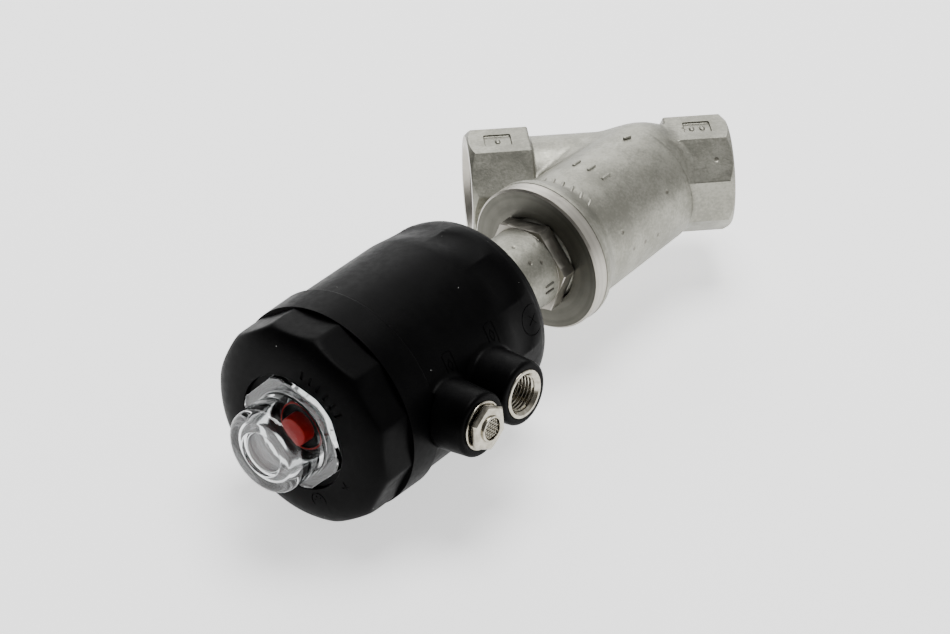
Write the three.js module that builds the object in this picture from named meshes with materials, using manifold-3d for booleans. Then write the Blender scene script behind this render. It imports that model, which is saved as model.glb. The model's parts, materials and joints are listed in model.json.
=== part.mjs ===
// Pneumatic actuated angle seat valve: a stainless body with a threaded pipe run along X and a
// branch at 45 degrees, a spring-return piston actuator on the branch, and a clear indicator cap.
// Millimetres, +Z up. The origin is where the pipe axis meets the spindle axis.

import * as THREE from "three";
import { mergeVertices } from "three/addons/utils/BufferGeometryUtils.js";
import Module from "manifold-3d";

const wasm = await Module();
wasm.setup();

// ---------------------------------------------------------------- driving dimensions

const GAP = 0.3; // left between two pieces that touch
const SLIDE = 0.25; // left round a shaft in its hole
const PAST = 1; // how far a cutting shape runs past what it cuts
const WIDE = 60; // wider than the whole valve body
const ROUND = 32; // sides of an ordinary turned piece
const LARGE_ROUND = 48; // sides of the housing and its bore
const PISTON_ROUND = 36;
const SMALL_ROUND = 24; // sides of a small piece
const FINE_ROUND = 12; // sides of an air channel

// Pipe run, along X. Port 1 is the end on the actuator's side.
const BODY_LENGTH = 65;
const PORT_1_X = -46.7;
const PORT_2_X = PORT_1_X + BODY_LENGTH;
const END_FLATS = 27; // across the flats of the eight-sided ends
const END_SIDES = 8;
const END_LENGTH = 15.6;
const END_FACE_R = END_FLATS / 2 - 0.2; // the chamfer leaves this much of the end face
const PIPE_R = 12;
const PIPE_INSET = 4; // the round pipe stops this far inside each end
const SOCKET_R = 9.3; // core radius of the pipe thread
const SOCKET_MOUTH_R = 11;
const SOCKET_1_DEPTH = 14;
const SOCKET_2_DEPTH = 12.5;
const SOCKET_FLOOR_RISE = 1.2; // the tapered floor of a socket
const FLOW_R = 6.5; // bore through the seat

// Spindle line: heights are measured along it from the pipe axis.
const BRANCH_TILT = Math.PI / 4; // between the spindle line and the pipe
const SEAT_T = 4.5;
const SEAT_LIP = 1.5; // wall of the raised seat
const WEB_LOW_T = 0.4; // the wall that holds the seat
const WEB_HIGH_T = 2.8;
const UNDER_SEAT = { r: 8.4, x: 2, y: 1.6 }; // rounded space below the seat
const BRANCH_ROOT_R = 15.5;
const BRANCH_ROOT_T = -12.6; // the rounded root, beyond the pipe
const BRANCH_R = 16.2;
const BRANCH_FLARE_T = 38; // the branch widens from here to its collar
const BRANCH_TOP_T = 48;
const COLLAR_R = 18.5;
const COLLAR_T = 44.2;
const COLLAR_SLOPE = 1.4;
const COLLAR_EDGE = 0.5;
const CHAMBER_R = 9.6;
const CHAMBER_LOW_T = -5;
const CHAMBER_TOP_T = 30;

// Nipple: screwed into the branch, with a hexagon on the branch's face and a neck above it.
const NIPPLE_LOW_T = 32;
const NIPPLE_LEAD_T = 34; // plain lead below the thread
const NIPPLE_SCREW_R = 11;
const NIPPLE_LEAD = 0.8;
const NIPPLE_RELIEF = 1;
const HEX_FLATS = 21;
const HEX_HEIGHT = 3.9;
const HEX_FACING = THREE.MathUtils.degToRad(39.4); // where one flat faces, round the spindle line
const NECK_R = 10.2;
const HOUSING_T = 71.2; // valve-side face of the actuator
const JOURNAL_R = 8.2; // the housing turns on this
const JOURNAL_TOP_T = 82.4;
const CIRCLIP = { low: 81, high: 82, depth: 1, reach: 1.6 }; // its groove, and how far it stands out
const GLAND_R = 6.4;
const GLAND_FLOOR_T = 42;
const GLAND_FIT = 0.15; // left each side of a ring in the gland
const CHEVRON = { count: 3, height: 2.4, dip: 0.9 };
const SPINDLE_R = 4;
const SHANK_R = 3; // thinner end of the spindle, from the piston up
const SPINDLE_TOP_T = 133;

// Gland pieces, from its floor up, each a gap above the one below it.
const layer = (below, height) => ({ low: below + GAP, high: below + GAP + height });
const SUPPORT_RING = layer(GLAND_FLOOR_T, 1.4);
const PACKING_SPRING = { ...layer(SUPPORT_RING.high, 8.2), radius: 5.25, wire: 1, turns: 5 };
const PRESSURE_RING = layer(PACKING_SPRING.high, 2);
const CHEVRONS = layer(PRESSURE_RING.high, CHEVRON.count * (CHEVRON.height + GAP) + CHEVRON.dip);
const GUIDE_BUSH = layer(CHEVRONS.high, 10);
const WIPER = layer(GUIDE_BUSH.high, 2.8);
const SPINDLE_SEAL = layer(WIPER.high, 4.2);

// Actuator base: twelve flats at its valve-side end run out into a round barrel.
const FACETS = 12; // flats round the cover and round the base
const HOUSING_TURN = THREE.MathUtils.degToRad(4.75);
const CYLINDER_R = 20; // piston bore
const CYLINDER_LOW_T = 84;
const BARREL_R = 24.5;
const BASE_FLATS = 46.4;
const BASE_EDGE_R = 4.6; // rounding of the valve-side end
const BASE_CORNER_R = 24.05;
const BASE_CORNER_T = HOUSING_T + BASE_EDGE_R + 3; // the corners between the flats start here
const BASE_FLATS_TOP_T = 83;
const BARREL_START_T = 88;
const SEAM_T = 115.7;
const SPIGOT_R = 22;
const SPIGOT_TOP_T = 122.5;
const SPIGOT_GROOVE = { low: 118, high: 119.8, depth: 0.9 };
const SWIVEL_GROOVE = { low: 74.6, high: 76.4, r: 10.2 };
const WASHER_POCKET = { low: 79.2, r: 12.5 };
const SWIVEL_WASHER_HEIGHT = 1.2;
const COVER_O_RING_R = 21.72;
const SWIVEL_O_RING_R = 9.3;

// Actuator cover: a round skirt, twelve flats and a dome with a recess for the cap.
const SKIRT_R = 25.4;
const SKIRT_EDGE = 0.2;
const SKIRT_TOP_R = 25.25;
const SKIRT_TOP_T = 124.3;
const COVER_FLATS = 48.3;
const DOME_R = 25.1; // where the dome starts
const DOME_INWARD = 10;
const DOME_LOW_T = SKIRT_TOP_T + 0.4;
const COVER_FLATS_TOP_T = 131.2;
const COVER_TOP_T = 136.2;
const COVER_BORE = { r: 20.8, low: 124, high: 128, ceilingR: 17, ceiling: 131.6 };
const CAP_RECESS_R = 14.3;
const CAP_SEAT_T = 134.9;
const CAP_HOLE_R = 9.6;
const CAP_GROOVE = { low: 133.6, r: 12.2, ringR: 11 };

const STROKE = 6.5;

// Piston: heights are from its underside.
const PISTON_T = 87; // underside of the piston, valve closed
const PISTON_R = 19.6;
const PISTON = {
  edge: 1, grooveLow: 2.2, grooveHigh: 5.4, grooveR: 16.8, rim: 7.5, rimR: 18, floor: 6.4,
  hub: 9, hubR: 8, ringSeat: 1.6, washer: 1.2, washerR: 7, nut: 4.2, nutFlats: 11,
};
const LIP = { splitLow: 18, splitHigh: 18.9, splitDepth: 1.6, tipR: 19.85, backR: 19.7, tip: 0.1 };
const CLOSING_SPRING = {
  radius: 14, wire: 2.8, low: PISTON_T + PISTON.floor + GAP, high: COVER_BORE.ceiling - 0.6, turns: 6,
};

// Port bosses, drawn about +X of the housing: distances are from the spindle line.
const PILOT_T = 96.2;
const VENT_T = 111.2;
const BOSS_TIP_R = 7.6;
const BOSS_ROOT_R = 8.2;
const BOSS_BACK = 21;
const BOSS_TAPER_START = 24;
const BOSS_EDGE = 0.8;
const BOSS_REACH = 34.1; // boss face, from the spindle line
const INSERT_R = 5.8;
const INSERT_BORE_R = 4.3;
const INSERT_LENGTH = 7.4;
const INSERT_REACH = 34.4;
const INSERT_CHAMFER = 0.6;
const PILOT_CHANNEL = { r: 1.2, length: 14, lean: THREE.MathUtils.degToRad(28), x: 21.3, t: 90 };
const VENT_CHANNEL = { r: 1.6, start: 18, end: 27 };

// Vent plug: distances are from the spindle line.
const PLUG = {
  seat: 34.9, hexTop: 36.4, nose: 37, shank: 6.5, shankR: 3.9, hexFlats: 10,
  noseR: 3.1, screenR: 2.4, screenSeat: 35.8, screenThickness: 0.8, boreR: 1.8, fit: 0.15,
};

const CAP_FLATS = 25.5;
const CAP_FACING = THREE.MathUtils.degToRad(17) - HOUSING_TURN;
const CAP_CORNER_R = 13.9;
const CAP_FLANGE = 1.6;
const CAP_BODY_R = 10.3;
const CAP_LOW_T = 129.5;
const CAP_TOP_T = 146.6;
const CAP_ROUNDING = 2.2;
const CAP_DISH = { r: 5, slope: 0.4, depth: 0.9 };
const CAP_INNER_R = 7.9;
const CAP_INNER_TOP_T = 144.4;

// Red indicator on the spindle's end, valve closed. Open, its top stops short of the cap.
const INDICATOR = {
  low: 128.5, rootR: 5.2, foot: 131.9, footR: 6, footTop: 134.2, stubR: 3.5, edge: 0.3,
  top: CAP_INNER_TOP_T - STROKE - 1,
};

// Valve plug, pinned to the spindle, with a soft seal held under it.
const SPINDLE_TIP = { low: 9, r: 2.4, cone: 1, neckR: 3.6, neckTop: 17.2 };
const VALVE_PLUG = {
  spigotR: 2.6, spigotLow: 3.4, discLow: 7.9, discR: 8.6, discTop: 10, hubLow: 12, hubR: 7, top: 17.4,
  socketLow: 8.7, socketTipR: 2.8, socketCone: 1.1,
};
const SEAT_SEAL = { r: 8.2, holeR: 3, low: SEAT_T + GAP, high: 7.6 };
const RETAINER = { low: 2.1, tipR: 4.6, r: 5.7, cone: 1, holeR: 2.9 };
const PIN = { t: 13, r: 1, half: 6.8, plugHoleR: 1.25, spindleHoleR: 1.35, sides: 16 };

// ---------------------------------------------------------------- materials

const finish = (color, roughness, metalness, extra = {}) =>
  new THREE.MeshStandardMaterial({ color, roughness, metalness, ...extra });

const castSteel = finish(0xb9b5a8, 0.5, 0.9);
const turnedSteel = finish(0xa9a69c, 0.35, 1);
const nickel = finish(0xd2cdbd, 0.22, 1);
const springSteel = finish(0x7d7f80, 0.4, 1);
const blackPolyamide = finish(0x1d1e1f, 0.62, 0);
const greyPolyamide = finish(0x3c3f42, 0.55, 0);
const clearCap = finish(0xe8eef0, 0.06, 0, { transparent: true, opacity: 0.35 });
const redSignal = finish(0xd3201a, 0.4, 0);
const ptfe = finish(0xece9df, 0.5, 0);
const rubber = finish(0x17181a, 0.75, 0);

// ---------------------------------------------------------------- geometry helpers

// Welds a geometry into one closed shell that faces outwards.
function weld(source) {
  const bare = source.index ? source.toNonIndexed() : source.clone();
  bare.deleteAttribute("normal");
  bare.deleteAttribute("uv");
  const merged = mergeVertices(bare, 1e-4);
  const corners = merged.index.array;
  const kept = [];
  for (let i = 0; i < corners.length; i += 3) {
    const [a, b, c] = [corners[i], corners[i + 1], corners[i + 2]];
    if (a !== b && b !== c && c !== a) kept.push(a, b, c);
  }
  merged.setIndex(kept);
  if (signedVolume(merged) < 0) merged.setIndex(kept.reverse());
  return merged;
}

function signedVolume(geometry) {
  const place = geometry.attributes.position;
  const index = geometry.index.array;
  const [a, b, c] = [new THREE.Vector3(), new THREE.Vector3(), new THREE.Vector3()];
  let sum = 0;
  for (let i = 0; i < index.length; i += 3) {
    a.fromBufferAttribute(place, index[i]);
    b.fromBufferAttribute(place, index[i + 1]);
    c.fromBufferAttribute(place, index[i + 2]);
    sum += a.dot(b.cross(c)) / 6;
  }
  return sum;
}

function toManifold(geometry) {
  const shell = weld(geometry);
  return new wasm.Manifold(
    new wasm.Mesh({
      numProp: 3,
      vertProperties: new Float32Array(shell.attributes.position.array),
      triVerts: new Uint32Array(shell.index.array),
    }),
  );
}

function toGeometry(manifold) {
  const mesh = manifold.getMesh();
  const geometry = new THREE.BufferGeometry();
  geometry.setAttribute("position", new THREE.BufferAttribute(mesh.vertProperties, 3));
  geometry.setIndex(new THREE.BufferAttribute(mesh.triVerts, 1));
  return geometry;
}

const join = (...parts) => toGeometry(parts.map(toManifold).reduce((a, b) => a.add(b)));
const cut = (from, ...tools) =>
  toGeometry(tools.map(toManifold).reduce((a, b) => a.subtract(b), toManifold(from)));
const meet = (a, b) => toGeometry(toManifold(a).intersect(toManifold(b)));

// Turned shape about Z from [radius, height] points. A profile that leaves the axis is closed.
function turned(profile, sides = ROUND) {
  const onAxis = profile[0][0] === 0 && profile.at(-1)[0] === 0;
  const outline = onAxis ? profile : [...profile, profile[0]];
  const points = outline.map(([radius, height]) => new THREE.Vector2(radius, height));
  return weld(new THREE.LatheGeometry(points, sides).rotateX(Math.PI / 2));
}

const rod = (radius, low, high, sides = ROUND) =>
  turned([[0, low], [radius, low], [radius, high], [0, high]], sides);

const tube = (inner, outer, low, high, sides = ROUND) =>
  turned([[inner, low], [outer, low], [outer, high], [inner, high]], sides);

// Ring of round section, such as an O-ring.
const ring = (radius, thickness, height, sides = SMALL_ROUND) =>
  weld(new THREE.TorusGeometry(radius, thickness / 2, 6, sides).translate(0, 0, height));

// Prism with flats at the given distance across, its first flat facing `facing` (radians from X).
function prism(acrossFlats, sides, low, high, facing = 0) {
  const corner = acrossFlats / 2 / Math.cos(Math.PI / sides);
  const shape = new THREE.CylinderGeometry(corner, corner, high - low, sides);
  shape.rotateX(Math.PI / 2).rotateZ(Math.PI / 2 + Math.PI / sides + facing);
  return weld(shape.translate(0, 0, (low + high) / 2));
}

// Quarter ellipse from (radius, low) up and in to (radius - inward, low + rise).
const shoulder = (radius, low, inward, rise, steps) =>
  Array.from({ length: steps + 1 }, (_, i) => {
    const angle = (i / steps) * (Math.PI / 2);
    return [radius - inward * (1 - Math.cos(angle)), low + rise * Math.sin(angle)];
  });

const alongX = (geometry) => geometry.rotateY(Math.PI / 2); // a Z shape laid along X

// Centre line of a coil spring about Z, its first and last turns closed.
class SpringPath extends THREE.Curve {
  constructor({ radius, wire, low, high, turns }) {
    super();
    Object.assign(this, { radius, wire, low, high, turns });
  }

  getPoint(t, target = new THREE.Vector3()) {
    const turn = t * this.turns;
    const closed = this.wire * 1.12;
    const open = (this.high - this.low - this.wire - 2 * closed) / (this.turns - 2);
    const climb = closed * Math.min(turn, 1)
      + open * THREE.MathUtils.clamp(turn - 1, 0, this.turns - 2)
      + closed * Math.max(turn - this.turns + 1, 0);
    const angle = turn * 2 * Math.PI;
    const height = this.low + this.wire / 2 + climb;
    return target.set(this.radius * Math.cos(angle), this.radius * Math.sin(angle), height);
  }
}

function spring(size, stepsPerTurn) {
  const section = new THREE.Shape().absarc(0, 0, size.wire / 2, 0, 2 * Math.PI);
  const options = {
    steps: size.turns * stepsPerTurn,
    curveSegments: 3,
    extrudePath: new SpringPath(size),
    bevelEnabled: false,
  };
  return weld(new THREE.ExtrudeGeometry(section, options));
}

function part(name, geometry, material) {
  const shell = weld(geometry);
  shell.computeVertexNormals();
  const mesh = new THREE.Mesh(shell, material);
  mesh.name = name;
  return mesh;
}

// ---------------------------------------------------------------- valve body

// Shapes on the spindle line are drawn with +Z along it and +Y up; this turns them into the pipe's frame.
const SPINDLE_FRAME = new THREE.Matrix4().makeBasis(
  new THREE.Vector3(Math.sin(BRANCH_TILT), -Math.cos(BRANCH_TILT), 0),
  new THREE.Vector3(0, 0, 1),
  new THREE.Vector3(-Math.cos(BRANCH_TILT), -Math.sin(BRANCH_TILT), 0),
);
const spindleToRow = (geometry) => geometry.applyMatrix4(SPINDLE_FRAME);

// Eight-sided end along +X from its inner side, its outer edge chamfered all round.
function bodyEnd() {
  const outside = END_FLATS / 2 / Math.cos(Math.PI / END_SIDES) + PAST;
  const chamfer = outside - END_FACE_R;
  const outline = [
    [0, 0], [outside, 0], [outside, END_LENGTH - chamfer], [END_FACE_R, END_LENGTH], [0, END_LENGTH],
  ];
  return alongX(meet(prism(END_FLATS, END_SIDES, 0, END_LENGTH), turned(outline)));
}

// The threaded hole of a port along +X from its mouth, down to the flow bore.
function socket(depth) {
  const bottom = depth + SOCKET_FLOOR_RISE;
  return alongX(turned([
    [0, -PAST], [SOCKET_MOUTH_R + PAST, -PAST], [SOCKET_MOUTH_R, 0],
    [SOCKET_R, SOCKET_MOUTH_R - SOCKET_R], [SOCKET_R, depth], [FLOW_R, bottom], [0, bottom],
  ], SMALL_ROUND));
}

const reversed = (geometry) => geometry.rotateZ(Math.PI); // +X turned to -X

function bodyShell() {
  const root = shoulder(BRANCH_ROOT_R, 0, BRANCH_ROOT_R, BRANCH_ROOT_T, 5).reverse();
  const branch = turned([
    ...root, [BRANCH_R, BRANCH_FLARE_T], [COLLAR_R, COLLAR_T - COLLAR_SLOPE],
    [COLLAR_R, BRANCH_TOP_T - COLLAR_EDGE], [COLLAR_R - COLLAR_EDGE, BRANCH_TOP_T], [0, BRANCH_TOP_T],
  ]);
  return join(
    spindleToRow(branch),
    alongX(rod(PIPE_R, PORT_1_X + PIPE_INSET, PORT_2_X - PIPE_INSET)),
    reversed(bodyEnd()).translate(PORT_1_X + END_LENGTH, 0, 0),
    bodyEnd().translate(PORT_2_X - END_LENGTH, 0, 0),
  );
}

// The space above the seat opens to port 1.
function flowAboveSeat() {
  const chamber = spindleToRow(rod(CHAMBER_R, CHAMBER_LOW_T, CHAMBER_TOP_T));
  const inlet = alongX(rod(FLOW_R, PORT_1_X + SOCKET_1_DEPTH - PAST, 0));
  const seatLip = tube(FLOW_R, FLOW_R + SEAT_LIP, 0, SEAT_T);
  return meet(join(chamber, inlet), spindleToRow(cut(rod(WIDE, WEB_HIGH_T, WIDE), seatLip)));
}

// The space below the seat opens to port 2.
function flowBelowSeat() {
  const belly = weld(new THREE.SphereGeometry(UNDER_SEAT.r, 16, 10).translate(UNDER_SEAT.x, UNDER_SEAT.y, 0));
  const outlet = alongX(rod(FLOW_R, 0, PORT_2_X - SOCKET_2_DEPTH));
  return meet(join(belly, outlet), spindleToRow(rod(WIDE, -WIDE, WEB_LOW_T)));
}

function valveBody() {
  const holeR = NIPPLE_SCREW_R + GAP;
  const nippleBore = turned([
    [0, CHAMBER_TOP_T - PAST], [CHAMBER_R, CHAMBER_TOP_T - PAST], [CHAMBER_R, CHAMBER_TOP_T],
    [holeR, CHAMBER_TOP_T], [holeR, BRANCH_TOP_T + PAST], [0, BRANCH_TOP_T + PAST],
  ]);
  return cut(
    bodyShell(), flowAboveSeat(), flowBelowSeat(),
    spindleToRow(rod(FLOW_R, WEB_LOW_T - PAST, SEAT_T + PAST)), spindleToRow(nippleBore),
    socket(SOCKET_1_DEPTH).translate(PORT_1_X, 0, 0),
    reversed(socket(SOCKET_2_DEPTH)).translate(PORT_2_X, 0, 0),
  );
}

// ---------------------------------------------------------------- nipple and stuffing box

// The hollow screwed piece that closes the branch and carries the housing.
function bonnetNipple() {
  const hexLow = BRANCH_TOP_T + GAP;
  const hexHigh = hexLow + HEX_HEIGHT;
  const neckTop = HOUSING_T - GAP;
  const leadR = NIPPLE_SCREW_R - NIPPLE_LEAD;
  const reliefR = NIPPLE_SCREW_R - NIPPLE_RELIEF;
  const grooveR = JOURNAL_R - CIRCLIP.depth;
  const outside = turned([
    [0, NIPPLE_LOW_T], [leadR, NIPPLE_LOW_T], [leadR, NIPPLE_LEAD_T],
    [NIPPLE_SCREW_R, NIPPLE_LEAD_T + NIPPLE_LEAD], [NIPPLE_SCREW_R, BRANCH_TOP_T - NIPPLE_RELIEF],
    [reliefR, BRANCH_TOP_T], [reliefR, hexLow + 1], [NECK_R, hexHigh - 1], [NECK_R, neckTop],
    [JOURNAL_R, neckTop], [JOURNAL_R, CIRCLIP.low], [grooveR, CIRCLIP.low], [grooveR, CIRCLIP.high],
    [JOURNAL_R, CIRCLIP.high], [JOURNAL_R, JOURNAL_TOP_T], [0, JOURNAL_TOP_T],
  ]);
  const hex = prism(HEX_FLATS, 6, hexLow, hexHigh, HEX_FACING);
  const spindleHoleR = SPINDLE_R + GAP;
  const bore = turned([
    [0, NIPPLE_LOW_T - PAST], [spindleHoleR, NIPPLE_LOW_T - PAST], [spindleHoleR, GLAND_FLOOR_T],
    [GLAND_R, GLAND_FLOOR_T], [GLAND_R, JOURNAL_TOP_T + PAST], [0, JOURNAL_TOP_T + PAST],
  ]);
  return cut(join(outside, hex), bore);
}

// Rings in the gland, between the spindle and the nipple's bore.
const GLAND_INNER_R = SPINDLE_R + GLAND_FIT;
const GLAND_OUTER_R = GLAND_R - GLAND_FIT;
const glandRing = ({ low, high }) => tube(GLAND_INNER_R, GLAND_OUTER_R, low, high, SMALL_ROUND);

// Ring in the journal's groove that keeps the housing on.
function swivelCirclip() {
  const fit = GLAND_FIT;
  const inner = JOURNAL_R - CIRCLIP.depth + fit;
  return tube(inner, JOURNAL_R + CIRCLIP.reach, CIRCLIP.low + fit, CIRCLIP.high - fit);
}

// V-shaped packing ring; the first one is the lowest.
function chevronRing(index) {
  const low = CHEVRONS.low + index * (CHEVRON.height + GAP);
  const high = low + CHEVRON.height;
  const middle = (GLAND_INNER_R + GLAND_OUTER_R) / 2;
  return turned([
    [GLAND_INNER_R, low], [middle, low + CHEVRON.dip], [GLAND_OUTER_R, low],
    [GLAND_OUTER_R, high], [middle, high + CHEVRON.dip], [GLAND_INNER_R, high],
  ], SMALL_ROUND);
}

// ---------------------------------------------------------------- actuator housing

// A port boss about +X of the housing, moved to its height.
function boss(height) {
  const shape = turned([
    [0, BOSS_BACK], [BOSS_ROOT_R, BOSS_BACK], [BOSS_ROOT_R, BOSS_TAPER_START],
    [BOSS_TIP_R, BOSS_REACH - BOSS_EDGE], [BOSS_TIP_R - BOSS_EDGE, BOSS_REACH], [0, BOSS_REACH],
  ], SMALL_ROUND);
  return alongX(shape).translate(0, 0, height);
}

function insertHole(height) {
  const back = INSERT_REACH - INSERT_LENGTH - GAP;
  return alongX(rod(INSERT_R + GAP, back, BOSS_REACH + PAST, SMALL_ROUND)).translate(0, 0, height);
}

// Outside of the base, with its spigot and the two bosses.
function baseShell() {
  const edge = shoulder(BASE_FLATS / 2, 0, BASE_EDGE_R, BASE_EDGE_R, 5)
    .map(([radius, rise]) => [radius, HOUSING_T + BASE_EDGE_R - rise]).reverse();
  const barrelTop = SEAM_T - GAP;
  const grooveR = SPIGOT_R - SPIGOT_GROOVE.depth;
  const outline = turned([
    [0, HOUSING_T], ...edge, [BASE_CORNER_R, BASE_CORNER_T], [BASE_CORNER_R, BASE_FLATS_TOP_T - 1],
    [BARREL_R, BARREL_START_T], [BARREL_R, barrelTop], [SPIGOT_R, barrelTop],
    [SPIGOT_R, SPIGOT_GROOVE.low], [grooveR, SPIGOT_GROOVE.low], [grooveR, SPIGOT_GROOVE.high],
    [SPIGOT_R, SPIGOT_GROOVE.high], [SPIGOT_R, SPIGOT_TOP_T], [0, SPIGOT_TOP_T],
  ], LARGE_ROUND);
  // The flats run out into the round barrel through a slope.
  const flats = join(
    prism(BASE_FLATS, FACETS, HOUSING_T - PAST, BASE_FLATS_TOP_T, Math.PI / FACETS),
    turned([
      [0, BASE_FLATS_TOP_T - 2], [BASE_FLATS / 2, BASE_FLATS_TOP_T - 2], [BARREL_R, BARREL_START_T - 2],
      [BARREL_R + PAST, BARREL_START_T], [BARREL_R + PAST, SPIGOT_TOP_T + PAST], [0, SPIGOT_TOP_T + PAST],
    ], LARGE_ROUND),
  );
  // The vent boss overhangs the cover's skirt, clear of it.
  const skirtRoom = rod(SKIRT_R + GAP, barrelTop, SKIRT_TOP_T, LARGE_ROUND);
  return join(meet(outline, flats), boss(PILOT_T), cut(boss(VENT_T), skirtRoom));
}

function actuatorBase() {
  const journalHoleR = JOURNAL_R + SLIDE;
  const bore = turned([
    [0, HOUSING_T - PAST], [journalHoleR, HOUSING_T - PAST], [journalHoleR, SWIVEL_GROOVE.low],
    [SWIVEL_GROOVE.r, SWIVEL_GROOVE.low], [SWIVEL_GROOVE.r, SWIVEL_GROOVE.high],
    [journalHoleR, SWIVEL_GROOVE.high], [journalHoleR, WASHER_POCKET.low],
    [WASHER_POCKET.r, WASHER_POCKET.low], [WASHER_POCKET.r, CYLINDER_LOW_T], [CYLINDER_R, CYLINDER_LOW_T],
    [CYLINDER_R, SPIGOT_TOP_T + PAST], [0, SPIGOT_TOP_T + PAST],
  ], LARGE_ROUND);
  const half = PILOT_CHANNEL.length / 2;
  const pilotChannel = rod(PILOT_CHANNEL.r, -half, half, FINE_ROUND);
  pilotChannel.rotateY(PILOT_CHANNEL.lean).translate(PILOT_CHANNEL.x, 0, PILOT_CHANNEL.t);
  const ventChannel = alongX(rod(VENT_CHANNEL.r, VENT_CHANNEL.start, VENT_CHANNEL.end, FINE_ROUND));
  return cut(
    baseShell(), bore, insertHole(PILOT_T), insertHole(VENT_T), pilotChannel,
    ventChannel.translate(0, 0, VENT_T),
  );
}

function swivelWasher() {
  const low = WASHER_POCKET.low + GAP;
  return tube(JOURNAL_R + SLIDE, WASHER_POCKET.r - GAP, low, low + SWIVEL_WASHER_HEIGHT);
}

function actuatorCover() {
  const dome = shoulder(DOME_R, COVER_FLATS_TOP_T, DOME_INWARD, COVER_TOP_T - COVER_FLATS_TOP_T, 5);
  const outline = turned([
    [0, SEAM_T], [SKIRT_R - SKIRT_EDGE, SEAM_T], [SKIRT_R, SEAM_T + SKIRT_EDGE],
    [SKIRT_TOP_R, SKIRT_TOP_T], [DOME_R, DOME_LOW_T], ...dome, [0, COVER_TOP_T],
  ], LARGE_ROUND);
  const flats = join(
    prism(COVER_FLATS, FACETS, SEAM_T - PAST, COVER_TOP_T + PAST),
    rod(WIDE, SEAM_T - PAST, SKIRT_TOP_T),
  );
  const fitR = SPIGOT_R + GAP + 0.1;
  const inside = turned([
    [0, SEAM_T - PAST], [fitR, SEAM_T - PAST], [fitR, SPIGOT_TOP_T + 0.5],
    [COVER_BORE.r, COVER_BORE.low], [COVER_BORE.r, COVER_BORE.high],
    [COVER_BORE.ceilingR, COVER_BORE.ceiling], [CAP_HOLE_R, COVER_BORE.ceiling],
    [CAP_HOLE_R, CAP_GROOVE.low], [CAP_GROOVE.r, CAP_GROOVE.low], [CAP_GROOVE.r, CAP_SEAT_T],
    [CAP_RECESS_R, CAP_SEAT_T], [CAP_RECESS_R, COVER_TOP_T + PAST], [0, COVER_TOP_T + PAST],
  ], LARGE_ROUND);
  return cut(meet(outline, flats), inside);
}

function portInsert(height) {
  const back = INSERT_REACH - INSERT_LENGTH;
  const edge = INSERT_CHAMFER / 2;
  return alongX(turned([
    [INSERT_BORE_R, back], [INSERT_R, back], [INSERT_R, INSERT_REACH - edge],
    [INSERT_R - edge, INSERT_REACH], [INSERT_BORE_R + INSERT_CHAMFER, INSERT_REACH],
    [INSERT_BORE_R, INSERT_REACH - INSERT_CHAMFER],
  ], SMALL_ROUND)).translate(0, 0, height);
}

// Screwed vent plug: a hollow shank, a hexagon and a round nose that holds the screen.
function ventPlug() {
  const { seat, hexTop, nose, shank, shankR, noseR, screenSeat, screenR, boreR, hexFlats, fit } = PLUG;
  const back = seat - shank;
  const middle = (seat + hexTop) / 2;
  const edge = 0.2;
  const outside = turned([
    [0, back], [shankR, back], [shankR, middle], [noseR, middle], [noseR, nose - edge],
    [noseR - edge, nose], [0, nose],
  ], SMALL_ROUND);
  const hex = prism(hexFlats, 6, seat, hexTop, Math.PI / 6);
  const bore = turned([
    [0, back - PAST], [boreR, back - PAST], [boreR, screenSeat], [screenR + fit, screenSeat],
    [screenR + fit, nose + PAST], [0, nose + PAST],
  ], SMALL_ROUND);
  return alongX(cut(join(outside, hex), bore)).translate(0, 0, VENT_T);
}

function ventScreen() {
  const low = PLUG.screenSeat + PLUG.fit;
  return alongX(rod(PLUG.screenR, low, low + PLUG.screenThickness, SMALL_ROUND)).translate(0, 0, VENT_T);
}

// Clear cap: a hexagonal flange with rounded corners and a hollow round body with a dished front.
function indicatorCap() {
  const base = CAP_SEAT_T + GAP;
  const flangeTop = base + CAP_FLANGE;
  const edge = 0.4;
  const flange = meet(
    prism(CAP_FLATS, 6, base, flangeTop, CAP_FACING),
    turned([
      [0, base], [CAP_CORNER_R, base], [CAP_CORNER_R, flangeTop - edge],
      [CAP_CORNER_R - edge, flangeTop], [0, flangeTop],
    ]),
  );
  const rounding = shoulder(CAP_BODY_R, CAP_TOP_T - CAP_ROUNDING, CAP_ROUNDING, CAP_ROUNDING, 3);
  const shankR = CAP_HOLE_R - GAP - 0.1;
  const body = turned([
    [0, CAP_LOW_T], [shankR, CAP_LOW_T], [shankR, base + 0.5], [CAP_BODY_R, base + 0.5], ...rounding,
    [CAP_DISH.r + CAP_DISH.slope, CAP_TOP_T], [CAP_DISH.r, CAP_TOP_T - CAP_DISH.depth],
    [0, CAP_TOP_T - CAP_DISH.depth],
  ]);
  const inside = turned([
    [0, CAP_LOW_T - PAST], [CAP_INNER_R, CAP_LOW_T - PAST], [CAP_INNER_R, CAP_INNER_TOP_T - 1.2],
    [CAP_INNER_R - 0.9, CAP_INNER_TOP_T], [0, CAP_INNER_TOP_T],
  ]);
  return cut(join(body, flange), inside);
}

// ---------------------------------------------------------------- moving stem

// A rod across the spindle line at the pin's height.
const crossRod = (radius, half) =>
  rod(radius, -half, half, PIN.sides).rotateX(Math.PI / 2).translate(0, 0, PIN.t);

const pinHole = (radius) => crossRod(radius, VALVE_PLUG.discR + PAST);

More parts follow.
